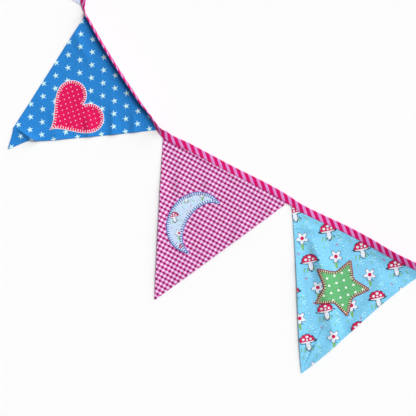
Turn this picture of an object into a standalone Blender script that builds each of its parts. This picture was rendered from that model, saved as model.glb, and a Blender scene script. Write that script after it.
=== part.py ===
"""A string of four triangular cloth pennants on a folded tape, lying on a flat surface.

Metres, +Z up, the surface at z = 0 and the origin under the middle of the whole string. The tape runs
from its tail at the top of the layout to its tail at the lower right, and the pennants lie on its
right-hand side. The tape is folded lengthwise over the pennants' top edges. It stands on edge where it
turns, along the star pennant, and lies flat along the others.
"""

import math
from collections import namedtuple

import bpy
import numpy as np
from mathutils import Vector
from mathutils.bvhtree import BVHTree

# Driving sizes of the cloth and the tape
CLOTH = 0.0010          # thickness of a pennant: front and back cloth, sewn and turned
GAP = 0.0003            # room between pieces that touch
LEG = 0.0010            # thickness of each side of the folded tape
TAPE_WIDTH = 0.0107     # from the tape's fold to its open edge
SLOT_DEPTH = 0.0088     # how deep the fold is open
INSET = 0.0080          # how far a pennant's top edge reaches into the fold
CLOSED_GAP = 0.00015    # half the fold's opening where no pennant is in it
CURL_RADIUS = 0.0062    # bend of the cloth below the tape where the tape stands on edge
EASE = 0.018            # length over which a pennant comes down from a flat tape to the surface
TIP_WIDTH = 0.0026      # a turned point is a little blunt
TAIL = 0.090            # plain tape beyond the outer pennants
SHUT_OVER = 0.0040      # length over which the fold closes beside a pennant
SQUARE_TO = 0.010       # down to here a pennant's faces stand off square to the cloth
UPRIGHT_FROM = 0.018    # from here on they are straight above each other
PATCH = 0.0010          # thickness of a sewn-on patch

# The layout below is drawn about the middle of the view from above; this point of it is the origin
LAYOUT_CENTRE = Vector((0.0081, 0.1710, 0.0))

OPEN_HALF = CLOTH / 2 + GAP
HALF_TAPE = OPEN_HALF + LEG

# The tape's open edge, from tail to tail. Roll is how far the tape is turned up on that edge.
Station = namedtuple("Station", "mark x y roll")
STATIONS = [
    Station("plain_start", -0.1549, 0.4917, 0),
    Station("", -0.1651, 0.4210, 0),
    Station("", -0.1752, 0.3510, 52),
    Station("plain_end", -0.1834, 0.2936, 76),
    Station("", -0.1826, 0.2871, 80),
    Station("stars_start", -0.1795, 0.2809, 80),
    Station("", -0.1545, 0.2366, 79),
    Station("", -0.1289, 0.1952, 80),
    Station("", -0.1020, 0.1540, 77),
    Station("stars_end", -0.0750, 0.1134, 46),
    Station("", -0.0709, 0.1078, 26),
    Station("check_start", -0.0661, 0.1031, 10),
    Station("", -0.0300, 0.0839, 2),
    Station("", 0.0230, 0.0557, 0),
    Station("check_end", 0.1137, 0.0075, 3),
    Station("", 0.1170, 0.0053, 5),
    Station("print_start", 0.1205, 0.0028, 5),
    Station("", 0.1618, -0.0189, 2),
    Station("", 0.1972, -0.0355, 3),
    Station("", 0.2316, -0.0542, 9),
    Station("", 0.2652, -0.0742, 12),
    Station("print_end", 0.3079, -0.0973, 0),
]

# Each pennant hangs between two marks of the tape. Its bow and wave are how far its sides swell and sway.
Pennant = namedtuple("Pennant", "node start end tip_x tip_y left_bow left_wave right_bow right_wave colour")
PENNANTS = [
    Pennant("pennant_plain", "plain_start", "plain_end", -0.3758, 0.4225, 0.0006, 0, 0.0006, 0,
            (0.62, 0.70, 0.88)),
    Pennant("pennant_stars", "stars_start", "stars_end", -0.2984, 0.0908, 0, 0, 0, 0,
            (0.023, 0.227, 0.631)),
    Pennant("pennant_check", "check_start", "check_end", -0.0777, -0.1315, 0, 0, 0, 0,
            (0.68, 0.20, 0.44)),
    Pennant("pennant_print", "print_start", "print_end", 0.1349, -0.2382, -0.0008, -0.0008, -0.0010, -0.0029,
            (0.205, 0.60, 0.89)),
]

# Columns between a pennant's top corners, as shares of its top edge
COLUMN_SHARES = {
    "pennant_plain": [0, 0.12, 0.24, 0.36, 0.46, 0.55, 0.62, 0.69, 0.76, 0.83, 0.89, 0.95, 1],
    "pennant_stars": [0, 0.04, 0.1, 0.17, 0.24, 0.31, 0.38, 0.45, 0.52, 0.59, 0.66, 0.73, 0.79, 0.84,
                      0.88, 0.91, 0.935, 0.955, 0.97, 0.985, 1],
    "pennant_check": [0, 0.04, 0.1, 0.18, 0.28, 0.4, 0.52, 0.64, 0.76, 0.88, 1],
    "pennant_print": [0, 0.06, 0.12, 0.18, 0.24, 0.3, 0.36, 0.42, 0.48, 0.55, 0.62, 0.69, 0.76, 0.84,
                      0.92, 1],
}

# Rows down a pennant: those in the fold and the curl are set distances from the tape, and the rest are even
# steps, closer over the last stretch to the point
SEWN_ROWS = [-INSET, -INSET / 2, 0]
CURL_ROWS = [0.0016, 0.0034, 0.0052, 0.0070, 0.0095, 0.013, 0.018]
FLAT_ROWS = [0.004, 0.009, 0.013, 0.018]
Rows = namedtuple("Rows", "below steps last_stretch last_steps")
ROW_PLAN = {
    "pennant_plain": Rows(CURL_ROWS, 8, 0.012, 2),
    "pennant_stars": Rows(CURL_ROWS, 8, 0.048, 12),
    "pennant_check": Rows(FLAT_ROWS, 8, 0.012, 2),
    "pennant_print": Rows(CURL_ROWS, 17, 0.012, 2),
}

# Soft folds in the cloth: the crest's points, its height there, and how far it falls away on each side
Crest = namedtuple("Crest", "x y height left right")
FOLDS = {
    "pennant_plain": [
        [Crest(-0.262, 0.470, 0, 0.02, 0.02), Crest(-0.250, 0.425, 0.0016, 0.03, 0.025),
         Crest(-0.246, 0.372, 0, 0.02, 0.02)],
    ],
    "pennant_stars": [
        [Crest(-0.150, 0.118, 0.0014, 0.010, 0.016), Crest(-0.156, 0.146, 0.0008, 0.014, 0.016),
         Crest(-0.163, 0.166, 0, 0.010, 0.010)],
        [Crest(-0.221, 0.098, 0.0016, 0.014, 0.014), Crest(-0.232, 0.122, 0.0010, 0.016, 0.014),
         Crest(-0.236, 0.150, 0, 0.010, 0.010)],
        [Crest(-0.186, 0.246, 0.0008, 0.010, 0.012), Crest(-0.190, 0.205, 0.0012, 0.016, 0.014),
         Crest(-0.198, 0.168, 0, 0.010, 0.010)],
    ],
    "pennant_check": [
        [Crest(0.052, -0.034, 0.0010, 0.020, 0.024), Crest(0.022, -0.014, 0.0008, 0.020, 0.024),
         Crest(-0.008, 0.012, 0, 0.012, 0.012)],
    ],
    "pennant_print": [
        [Crest(0.1460, -0.0420, 0, 0.008, 0.012), Crest(0.1530, -0.0560, 0.0024, 0.016, 0.026),
         Crest(0.1610, -0.0800, 0.0034, 0.015, 0.034), Crest(0.1668, -0.1045, 0.0034, 0.011, 0.036),
         Crest(0.1718, -0.1335, 0.0032, 0.014, 0.034), Crest(0.1770, -0.1640, 0.0034, 0.019, 0.026),
         Crest(0.1820, -0.1960, 0.0030, 0.024, 0.020)],
        [Crest(0.1275, -0.0270, 0.0012, 0.006, 0.010), Crest(0.1470, -0.0310, 0.0018, 0.008, 0.012),
         Crest(0.1600, -0.0330, 0, 0.006, 0.008)],
        [Crest(0.2370, -0.0860, 0, 0.012, 0.014), Crest(0.2420, -0.1100, 0.0022, 0.020, 0.020),
         Crest(0.2440, -0.1420, 0.0030, 0.022, 0.018)],
        [Crest(0.2700, -0.0950, 0.0010, 0.012, 0.012), Crest(0.2790, -0.1060, 0.0016, 0.014, 0.012)],
    ],
}

# The star pennant's point is turned in about a place on its side, and the spare cloth stands in a tuck.
# Flat is the angle of the cloth before it is tucked, plan its angle as it lies, rise the height per radius.
TUCK_X, TUCK_Y = -0.2812, 0.1186
Tuck = namedtuple("Tuck", "flat plan rise")
TUCK = [
    Tuck(58, 58, 0),
    Tuck(0, 0, 0),
    Tuck(-14, -13.8, 0.035),
    Tuck(-26, -25.0, 0.110),
    Tuck(-35, -32.8, 0.170),
    Tuck(-41, -37.2, 0.180),
    Tuck(-48, -39.8, 0.120),
    Tuck(-55, -41.6, 0.040),
    Tuck(-61, -44.0, 0),
    Tuck(-130, -113.0, 0),
]

# Patches sewn to the pennants: middle, size and turn against the pennant's own upright
Patch = namedtuple("Patch", "node pennant shape x y width height turn colour")
PATCHES = [
    Patch("patch_heart", "pennant_stars", "heart", -0.1993, 0.1372, 0.084, 0.078, 5, (0.74, 0.02, 0.13)),
    Patch("patch_moon", "pennant_check", "moon", -0.0300, -0.0140, 0.054, 0.092, 176, (0.58, 0.68, 0.86)),
    Patch("patch_star", "pennant_print", "star", 0.1905, -0.1148, 0.088, 0.088, 6, (0.13, 0.48, 0.22)),
]

# How finely the shapes are worked out
NUDGE = 0.0001
CLOSEST_STOPS = 0.0004
HEART_STEPS = 30
STAR_POINTS = 5
STAR_WAIST = 0.53
ROUND_POINT = ((-0.075, 0.96), (0, 1), (0.075, 0.96))     # turn from a point in radians, and share of reach
ROUND_WAIST = ((-0.10, 1.03), (0.10, 1.03))
MOON_STEPS = 15
MOON_BITE = 0.68
RINGS = 3
PROBE = 0.0007
CREASE = math.radians(50)


def smooth(t):
    """Runs from 0 to 1 with level ends."""
    t = np.clip(t, 0, 1)
    return t * t * (3 - 2 * t)


def slopes(knots, values, monotone):
    """Slope of a smooth curve at each knot; a monotone one never overshoots its values."""
    step = np.diff(knots)[:, None]
    rise = np.diff(values, axis=0) / step
    middle = (rise[:-1] * step[1:] + rise[1:] * step[:-1]) / (step[:-1] + step[1:])
    if monotone:
        turns = rise[:-1] * rise[1:] <= 0
        limit = 2 * np.minimum(abs(rise[:-1]), abs(rise[1:]))
        middle = np.where(turns, 0, np.clip(middle, -limit, limit))
    return np.concatenate([rise[:1], middle, rise[-1:]])


def curve_through(knots, values, at, monotone=False):
    """Cubic curve through the rows of values at the knots, read at other places."""
    knots, at = np.asarray(knots, float), np.asarray(at, float)
    values = np.asarray(values, float).reshape(len(knots), -1)
    slope = slopes(knots, values, monotone)
    i = np.clip(np.searchsorted(knots, at, side="right") - 1, 0, len(knots) - 2)
    step = (knots[i + 1] - knots[i])[..., None]
    t = (at - knots[i])[..., None] / step
    start = values[i] * (1 + 2 * t) * (1 - t) ** 2 + slope[i] * step * t * (1 - t) ** 2
    read = start + values[i + 1] * t * t * (3 - 2 * t) + slope[i + 1] * step * t * t * (t - 1)
    return read if read.shape[-1] > 1 else read[..., 0]


def with_tails():
    """The stations with a straight tail added at each end, and their distances along the tape."""
    rows = list(STATIONS)
    ends = []
    for outer, inner, mark in ((rows[0], rows[1], "tail_start"), (rows[-1], rows[-2], "tail_end")):
        away = np.array((outer.x - inner.x, outer.y - inner.y))
        away *= TAIL / np.linalg.norm(away)
        ends.append(Station(mark, outer.x + away[0], outer.y + away[1], 0))
    rows = [ends[0], *rows, ends[1]]
    steps = [math.hypot(b.x - a.x, b.y - a.y) for a, b in zip(rows, rows[1:])]
    return rows, np.concatenate([[0], np.cumsum(steps)])


ROWS, REACH = with_tails()
MARKS = {row.mark: reach for row, reach in zip(ROWS, REACH) if row.mark}


def open_half_at(along):
    """Half the opening of the tape's fold: wide over a pennant's edge and almost shut between pennants."""
    opened = np.zeros(len(along))
    for pennant in PENNANTS:
        from_start = along - MARKS[pennant.start] + SHUT_OVER
        to_end = MARKS[pennant.end] + SHUT_OVER - along
        opened = np.maximum(opened, smooth(np.minimum(from_start, to_end) / SHUT_OVER))
    return CLOSED_GAP + (OPEN_HALF - CLOSED_GAP) * opened


def tape_frame(along):
    """At distances along the tape: its open edge, the way across it, the way out of its face, its roll.

    The edge lies on the surface where the tape is flat, and on the cloth's curl where it is turned up.
    """
    along = np.asarray(along, float)
    x, y = curve_through(REACH, [(row.x, row.y) for row in ROWS], along).T
    roll = np.radians(curve_through(REACH, [row.roll for row in ROWS], along, monotone=True))
    ahead = curve_through(REACH, [(row.x, row.y) for row in ROWS], along + NUDGE)
    heading = ahead - curve_through(REACH, [(row.x, row.y) for row in ROWS], along - NUDGE)
    heading /= np.linalg.norm(heading, axis=1, keepdims=True)
    outward = np.stack([-heading[:, 1], heading[:, 0], np.zeros(len(along))], 1)
    up = np.array((0.0, 0.0, 1.0))
    across = outward * np.cos(roll)[:, None] + up * np.sin(roll)[:, None]
    facing = up * np.cos(roll)[:, None] - outward * np.sin(roll)[:, None]
    half = open_half_at(along) + LEG
    height = CURL_RADIUS * (1 - np.cos(roll)) + np.maximum(half * np.cos(roll), CLOTH / 2)
    edge = np.stack([x, y, height], 1)
    return edge, across, facing, roll


def curl(roll, away):
    """Plan distance and height of cloth that leaves the tape at its roll and bends level on an arc."""
    turned = np.minimum(away / CURL_RADIUS, roll)
    straight = np.maximum(away - CURL_RADIUS * roll, 0)
    run = CURL_RADIUS * (np.sin(roll) - np.sin(roll - turned)) + straight
    return run, CURL_RADIUS * (1 - np.cos(roll - turned))


def fold_height(crests, x, y):
    """Height of one soft fold: full on its crest line and easing to nothing at each flank's width."""
    best = np.full(np.shape(x), 1e9)
    height = np.zeros(np.shape(x))
    for a, b in zip(crests, crests[1:]):
        dx, dy = b.x - a.x, b.y - a.y
        t = np.clip(((x - a.x) * dx + (y - a.y) * dy) / (dx * dx + dy * dy), 0, 1)
        off_x, off_y = x - a.x - t * dx, y - a.y - t * dy
        distance = np.hypot(off_x, off_y)
        on_left = dx * off_y - dy * off_x > 0
        width = np.where(on_left, a.left + t * (b.left - a.left), a.right + t * (b.right - a.right))
        share = np.clip(distance / width, 0, 1)
        here = (a.height + t * (b.height - a.height)) * (1 - share) ** 2 * (1 + 1.2 * share)
        height = np.where(distance < best, here, height)
        best = np.minimum(distance, best)
    return height


def relief(node, x, y):
    """Height of all of a pennant's folds together."""
    return sum((fold_height(crests, x, y) for crests in FOLDS[node]), np.zeros(np.shape(x)))


def tucked(x, y):
    """Plan place and height of the star pennant's cloth once its point is turned in."""
    off_x, off_y = x - TUCK_X, y - TUCK_Y
    radius = np.hypot(off_x, off_y)
    angle = np.degrees(np.arctan2(off_y, off_x))
    rows = TUCK[::-1]
    knots = [row.flat for row in rows]
    inside = (angle > knots[0]) & (angle < knots[-1])
    held = np.clip(angle, knots[0], knots[-1])
    plan = curve_through(knots, [row.plan for row in rows], held, monotone=True)
    rise = curve_through(knots, [row.rise for row in rows], held, monotone=True)
    plan = np.radians(np.where(inside, plan, angle))
    height = np.where(inside, rise, 0) * radius
    return TUCK_X + radius * np.cos(plan), TUCK_Y + radius * np.sin(plan), height


def side_push(pennant, share, down):
    """How far the cloth is pushed out past a straight-sided triangle, at a share of its width and depth."""
    swell, sway = np.sin(math.pi * down), np.sin(2 * math.pi * down)
    left = (pennant.left_bow * swell + pennant.left_wave * sway) * np.clip(1 - 2 * share, 0, 1)
    right = (pennant.right_bow * swell + pennant.right_wave * sway) * np.clip(2 * share - 1, 0, 1)
    return left, right


def depth_of(pennant):
    """Plan distance from the middle of the pennant's top edge to its point."""
    ends, _, _, _ = tape_frame([MARKS[pennant.start], MARKS[pennant.end]])
    middle = ends.mean(axis=0)
    return math.hypot(pennant.tip_x - middle[0], pennant.tip_y - middle[1])


def pennant_points(pennant, shares, aways):
    """Mid-surface of a pennant on a grid of shares along its top edge and distances from the tape.

    A negative distance is cloth inside the tape's fold, which follows the tape's own plane. Below the
    tape the cloth runs on straight lines, in plan, from the top edge to the point, and its height is the
    curl under the tape, the easing from the tape to the surface, and its folds.
    """
    along = MARKS[pennant.start] + np.asarray(shares) * (MARKS[pennant.end] - MARKS[pennant.start])
    edge, across, _, roll = tape_frame(along)
    u, away = np.meshgrid(shares, aways, indexing="ij")
    roll = np.broadcast_to(roll[:, None], u.shape)
    depth = depth_of(pennant)
    run, height = curl(roll, np.maximum(away, 0))
    full_run, _ = curl(roll, np.full(u.shape, depth))
    down = run / full_run
    base = edge[-1] - edge[0]
    base /= np.linalg.norm(base)
    point_x = pennant.tip_x + (u - 0.5) * TIP_WIDTH * base[0]
    point_y = pennant.tip_y + (u - 0.5) * TIP_WIDTH * base[1]
    x = edge[:, 0][:, None] + (point_x - edge[:, 0][:, None]) * down
    y = edge[:, 1][:, None] + (point_y - edge[:, 1][:, None]) * down
    left, right = side_push(pennant, u, down)
    x = x + (right - left) * base[0]
    y = y + (right - left) * base[1]
    settle = smooth(away / EASE)
    drop = np.maximum(HALF_TAPE * np.cos(roll) - CLOTH / 2, 0)
    z = CLOTH / 2 + height + drop * (1 - settle) + relief(pennant.node, x, y) * settle
    if pennant.node == "pennant_stars":
        x, y, tuck_height = tucked(x, y)
        z = z + tuck_height
    points = np.stack([x, y, z], -1)
    inside = away < 0
    sewn = edge[:, None, :] - across[:, None, :] * away[..., None]
    return np.where(inside[..., None], sewn, points)


def thickened(points, aways, facing):
    """Upper and lower faces of a pennant about its mid-surface.

    In the tape's fold they stand off along the way out of the tape's face, in the curl below it square to
    the cloth, and past the curl straight above each other, so that what lies flat keeps a flat underside.
    """
    normal = np.cross(np.gradient(points, axis=1), np.gradient(points, axis=0))
    normal[..., :2] *= (1 - smooth((aways - SQUARE_TO) / (UPRIGHT_FROM - SQUARE_TO)))[None, :, None]
    normal /= np.linalg.norm(normal, axis=-1, keepdims=True)
    normal *= np.where(normal[..., 2:] < 0, -1, 1)
    normal = np.where((aways <= 0)[None, :, None], facing[:, None, :], normal)
    return points + normal * CLOTH / 2, points - normal * CLOTH / 2


def material(name, colour, roughness):
    made = bpy.data.materials.new(name)
    made.use_nodes = True
    shader = made.node_tree.nodes["Principled BSDF"]
    shader.inputs["Base Color"].default_value = (*colour, 1)
    shader.inputs["Roughness"].default_value = roughness
    shader.inputs["Metallic"].default_value = 0
    return made


def add_object(name, vertices, faces, colour, roughness=0.85):
    """A named object from points and faces."""
    mesh = bpy.data.meshes.new(name)
    mesh.from_pydata(np.asarray(vertices, float).reshape(-1, 3).tolist(), [], faces)
    mesh.validate()
    mesh.shade_smooth()
    mesh.set_sharp_from_angle(angle=CREASE)
    mesh.materials.append(material(name, colour, roughness))
    made = bpy.data.objects.new(name, mesh)
    bpy.context.scene.collection.objects.link(made)
    return made


def grid_faces(columns, rows, offset, flip):
    """Triangles of a grid whose points are numbered column by column."""
    faces = []
    for i in range(columns - 1):
        for j in range(rows - 1):
            a = offset + i * rows + j
            b, c, d = a + 1, a + rows + 1, a + rows
            pair = [(a, b, c), (a, c, d)]
            faces += [f[::-1] for f in pair] if flip else pair
    return faces


def sheet_object(name, upper, lower, colour):
    """A closed sheet from the grids of its upper and lower faces, with walls round the rim."""
    columns, rows, _ = upper.shape
    count = columns * rows
    faces = grid_faces(columns, rows, 0, flip=False) + grid_faces(columns, rows, count, flip=True)
    rim = [i * rows for i in range(columns)]
    rim += [(columns - 1) * rows + j for j in range(1, rows)]
    rim += [i * rows + rows - 1 for i in range(columns - 2, -1, -1)]
    rim += list(range(rows - 2, 0, -1))
    for a, b in zip(rim, rim[1:] + rim[:1]):
        faces += [(a, b, b + count), (a, b + count, a + count)]
    vertices = np.concatenate([upper.reshape(-1, 3), lower.reshape(-1, 3)])
    return add_object(name, vertices, faces, colour)


def row_distances(pennant):
    """Distances from the tape at which a pennant has rows: close in the curl, and by a tucked point."""
    depth = depth_of(pennant)
    plan = ROW_PLAN[pennant.node]
    last_start = depth - plan.last_stretch
    body = np.linspace(plan.below[-1], last_start, plan.steps + 1)[1:]
    point = np.linspace(last_start, depth, plan.last_steps + 1)[1:]
    return np.array([*SEWN_ROWS, *plan.below, *body, *point])


def make_pennant(pennant):
    aways = row_distances(pennant)
    shares = COLUMN_SHARES[pennant.node]
    points = pennant_points(pennant, shares, aways)
    along = MARKS[pennant.start] + np.asarray(shares) * (MARKS[pennant.end] - MARKS[pennant.start])
    upper, lower = thickened(points, aways, tape_frame(along)[2])
    lower[..., 2] = np.maximum(lower[..., 2], 0)
    return sheet_object(pennant.node, upper, lower, pennant.colour)


def tape_section(open_half):
    """Outline of the folded tape, across and out of its face, from the open edge round the fold and back."""
    half = open_half + LEG
    fold = [(TAPE_WIDTH - half + half * math.cos(a), half * math.sin(a))
            for a in np.radians([-90, -50, 0, 50, 90])]
    outer = [(0, -half), *fold, (0, half)]
    inner = [(0, open_half), (SLOT_DEPTH, open_half), (SLOT_DEPTH, -open_half), (0, -open_half)]
    return np.array(outer + inner)


def tape_stops():
    """Distances along the tape at which it has a section: the pennants' own columns, gaps and tails."""
    stops = [0, TAIL / 2, REACH[-1] - TAIL / 2, REACH[-1]]
    for pennant in PENNANTS:
        start, end = MARKS[pennant.start], MARKS[pennant.end]
        stops += [start - SHUT_OVER, start - SHUT_OVER / 2, end + SHUT_OVER / 2, end + SHUT_OVER]
        stops += [start + share * (end - start) for share in COLUMN_SHARES[pennant.node]]
    for before, after in zip(PENNANTS, PENNANTS[1:]):
        stops.append((MARKS[before.end] + MARKS[after.start]) / 2)
    stops = np.array(sorted(stops))
    return stops[np.concatenate([[True], np.diff(stops) > CLOSEST_STOPS])]


def make_tape():
    stops = tape_stops()
    edge, across, facing, _ = tape_frame(stops)
    sections = np.array([tape_section(half) for half in open_half_at(stops)])
    points = edge[:, None, :] + across[:, None, :] * sections[..., :1]
    points = points + facing[:, None, :] * sections[..., 1:]
    count = points.shape[1]
    faces = []
    for i in range(len(stops) - 1):
        for j in range(count):
            a, b = i * count + j, i * count + (j + 1) % count
            c, d = b + count, a + count
            faces += [(a, b, c), (a, c, d)]
    faces.append(tuple(range(count))[::-1])
    faces.append(tuple((len(stops) - 1) * count + j for j in range(count)))
    return add_object("tape", points, faces, (0.72, 0.05, 0.22))


def heart_outline():
    """A heart about its middle, as wide and as high as 1, from its notch clockwise."""
    t = np.arange(HEART_STEPS) * 2 * math.pi / HEART_STEPS
    x = 16 * np.sin(t) ** 3
    y = 13 * np.cos(t) - 5 * np.cos(2 * t) - 2 * np.cos(3 * t) - np.cos(4 * t)
    return np.stack([x / 32, (y + 2.5) / 29], 1)


def star_outline():
    """A five-pointed star of diameter 1 with soft points, from its top clockwise."""
    outline = []
    for i in range(STAR_POINTS * 2):
        angle = math.pi * i / STAR_POINTS
        radius = 0.5 if i % 2 == 0 else 0.5 * STAR_WAIST
        at_point = i % 2 == 0
        outline += [(radius * reach * math.sin(angle + turn), radius * reach * math.cos(angle + turn))
                    for turn, reach in (ROUND_POINT if at_point else ROUND_WAIST)]
    return np.array(outline)


def rings_of(outline):
    """Points of a star-shaped outline, scaled in rings towards its middle; the middle comes last."""
    scales = np.linspace(1, 0, RINGS + 1)[:-1]
    return np.concatenate([*(outline * s for s in scales), [[0, 0]]])


def ring_faces(around):
    """Triangles of rings of points about a middle point, anticlockwise seen from above."""
    faces = []
    for ring in range(RINGS - 1):
        for i in range(around):
            a, b = ring * around + i, ring * around + (i + 1) % around
            c, d = b + around, a + around
            faces += [(a, c, b), (a, d, c)]
    last, middle = (RINGS - 1) * around, RINGS * around
    faces += [(last + i, middle, last + (i + 1) % around) for i in range(around)]
    return faces, list(range(around))


def moon_points():
    """A crescent as high as 1, open to the left, as strips from its outer to its inner curve."""
    t = np.linspace(-1, 1, MOON_STEPS)
    outer_angle = t * math.radians(112)
    outer = np.stack([np.cos(outer_angle), np.sin(outer_angle)], 1)
    tip_x, tip_y = outer[-1]
    inner = np.stack([tip_x + (1 - MOON_BITE - tip_x) * np.cos(t * math.pi / 2) - 0.03,
                      tip_y * 0.965 * np.sin(t * math.pi / 2)], 1)
    shares = np.linspace(0, 1, RINGS + 1)
    strips = outer[:, None, :] + (inner - outer)[:, None, :] * shares[None, :, None]
    strips[..., 0] -= (outer[:, 0].max() + outer[:, 0].min()) / 2
    strips[..., 0] /= outer[:, 0].max() - outer[:, 0].min()
    strips[..., 1] /= 2
    return strips.reshape(-1, 2)


def moon_faces():
    """Triangles of the crescent's strips, and its rim in order."""
    rows = RINGS + 1
    faces = [f[::-1] for f in grid_faces(MOON_STEPS, rows, 0, flip=False)]
    rim = [i * rows for i in range(MOON_STEPS)] + [(MOON_STEPS - 1) * rows + j for j in range(1, rows)]
    rim += [i * rows + rows - 1 for i in range(MOON_STEPS - 2, -1, -1)] + list(range(rows - 2, 0, -1))
    return faces, rim[::-1]


def upright_of(pennant):
    """Angle that turns a drawing's x axis along the pennant's top edge, so that its top is by the tape."""
    ends, _, _, _ = tape_frame([MARKS[pennant.start], MARKS[pennant.end]])
    return math.atan2(ends[1][1] - ends[0][1], ends[1][0] - ends[0][0])


def skin_of(points, faces):
    """Faces that heights can be read from."""
    return BVHTree.FromPolygons([Vector(p) for p in points], [tuple(f) for f in faces])


def height_on(skin, x, y):
    """Height of the top of a skin over a place, or None beside it."""
    hit, _, _, _ = skin.ray_cast(Vector((x, y, 1)), Vector((0, 0, -1)))
    return None if hit is None else hit.z


def make_patch(patch, pennant, carrier):
    """A patch that lies on its pennant, a little clear of it everywhere."""
    if patch.shape == "heart":
        flat = rings_of(heart_outline())
        faces, rim = ring_faces(HEART_STEPS)
    elif patch.shape == "star":
        flat = rings_of(star_outline())
        faces, rim = ring_faces(len(star_outline()))
    else:
        flat = moon_points()
        faces, rim = moon_faces()
    flat = flat * (patch.width, patch.height)
    turn = upright_of(pennant) + math.radians(patch.turn)
    x = patch.x + flat[:, 0] * math.cos(turn) - flat[:, 1] * math.sin(turn)
    y = patch.y + flat[:, 0] * math.sin(turn) + flat[:, 1] * math.cos(turn)
    cloth = skin_of([v.co for v in carrier.data.vertices], [p.vertices for p in carrier.data.polygons])
    z = [height_on(cloth, px, py) for px, py in zip(x, y)]
    lower = np.stack([x, y, z], 1)
    under = skin_of([Vector(p) for p in lower], faces)
    lifts = [0.0]
    for px in np.arange(x.min(), x.max(), PROBE):
        for py in np.arange(y.min(), y.max(), PROBE):
            seat = height_on(under, px, py)
            if seat is not None:
                lifts.append(height_on(cloth, px, py) - seat)
    lower[:, 2] += GAP + max(lifts)
    upper = lower + (0, 0, PATCH)
    count = len(flat)
    every = [tuple(f) for f in faces] + [tuple(i + count for i in f[::-1]) for f in faces]
    for a, b in zip(rim, rim[1:] + rim[:1]):
        every += [(a, b, b + count), (a, b + count, a + count)]
    return add_object(patch.node, np.concatenate([upper, lower]), every, patch.colour)


def main():
    for old in list(bpy.data.objects):
        bpy.data.objects.remove(old)
    make_tape()
    made = {pennant.node: make_pennant(pennant) for pennant in PENNANTS}
    by_name = {pennant.node: pennant for pennant in PENNANTS}
    for patch in PATCHES:
        make_patch(patch, by_name[patch.pennant], made[patch.pennant])
    for placed in bpy.data.objects:
        for vertex in placed.data.vertices:
            vertex.co -= LAYOUT_CENTRE


main()
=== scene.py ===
"""A bunting of four cloth pennants on a folded tape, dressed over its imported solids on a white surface.

Metres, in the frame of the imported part: the surface at z = 0, +X to the right and +Y up in the view from
above. Each visible piece is a closed surface worked out from the same layout as the solids, with thinner
cloth, finer folds, sewing and prints.
"""
import math
from collections import namedtuple

import bpy
import numpy as np
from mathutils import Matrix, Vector


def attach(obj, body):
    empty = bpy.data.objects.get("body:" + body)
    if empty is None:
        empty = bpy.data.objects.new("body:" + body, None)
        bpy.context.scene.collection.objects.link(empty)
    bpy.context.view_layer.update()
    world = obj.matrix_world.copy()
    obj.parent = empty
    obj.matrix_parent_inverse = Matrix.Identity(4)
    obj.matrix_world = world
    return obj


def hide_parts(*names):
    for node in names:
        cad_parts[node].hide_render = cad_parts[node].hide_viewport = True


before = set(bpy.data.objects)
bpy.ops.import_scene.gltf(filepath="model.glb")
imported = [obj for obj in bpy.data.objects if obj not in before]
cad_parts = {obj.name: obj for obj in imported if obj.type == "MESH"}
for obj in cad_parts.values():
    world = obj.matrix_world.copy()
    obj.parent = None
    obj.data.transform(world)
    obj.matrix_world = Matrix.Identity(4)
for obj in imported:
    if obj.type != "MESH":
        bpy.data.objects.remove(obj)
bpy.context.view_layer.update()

# Cloth and tape
CLOTH = 0.0008            # two layers of cotton, sewn and turned
SEAM_EXTRA = 0.00025      # the turned-in allowance adds this much thickness beside an edge
SEAM_WIDTH = 0.0055
SEAM_EASE = 0.0015        # a seam's thickness fades over this width
SEAM_FROM = 0.001         # and it starts over this one
RIM = 0.0005              # rounding of a cloth edge
RIM_LEAST = 0.03          # share of the rim's width at which the skin closes
LEG = 0.00052             # each side of the folded tape
SLACK = 0.00005           # room between the tape and the cloth inside it
TAPE_WIDTH = 0.0107
SLOT_DEPTH = 0.0092       # depth of the tape's fold inside
INSET = 0.0080            # how far a pennant goes into it
CLOSED_GAP = 0.00008      # half the opening of the fold where no cloth is in it
SHUT_OVER = 0.0040        # it shuts over this length past a pennant's corner
CURL_RADIUS = 0.0042      # of the cloth's bend below a tape that is turned up
EASE = 0.013              # the cloth comes down to the surface over this, and more by the tape's height
EASE_MORE = 0.6
EASE_ROUND = 0.9          # 2 leaves the tape level, and less leaves it at a slope
SQUARE_TO = 0.010         # thickness is laid square to the cloth up to here from the tape
UPRIGHT_FROM = 0.018      # and upright from here
TIP_WIDTH = 0.0022
TURNED_END = 0.007        # length of tape turned in at each end
TURNED_EXTRA = 0.35       # share that it adds to the thickness of the tape's sides
TURNED_FADE = 0.001
GATHER = 0.55             # the tape is twisted narrow between the first two pennants, by this share
GATHER_BEFORE = 0.0110    # and over about these lengths before and after
GATHER_AFTER = 0.0055
OPEN_HALF = CLOTH / 2 + SLACK
LIFT = 0.00005            # cloth lies this far clear of the surface
LOWEST = 0.00002          # and threads under it are pressed flat at this height
UP = np.array((0.0, 0.0, 1.0))

# The photograph's middle, in the layout's own measure, and the layout's point that is the origin
LAYOUT_CENTRE = np.array((0.0081, 0.1710, 0.0))
PIXEL = 0.00145           # size on the surface of one pixel of the photograph
PHOTO_PIXELS = 416

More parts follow.
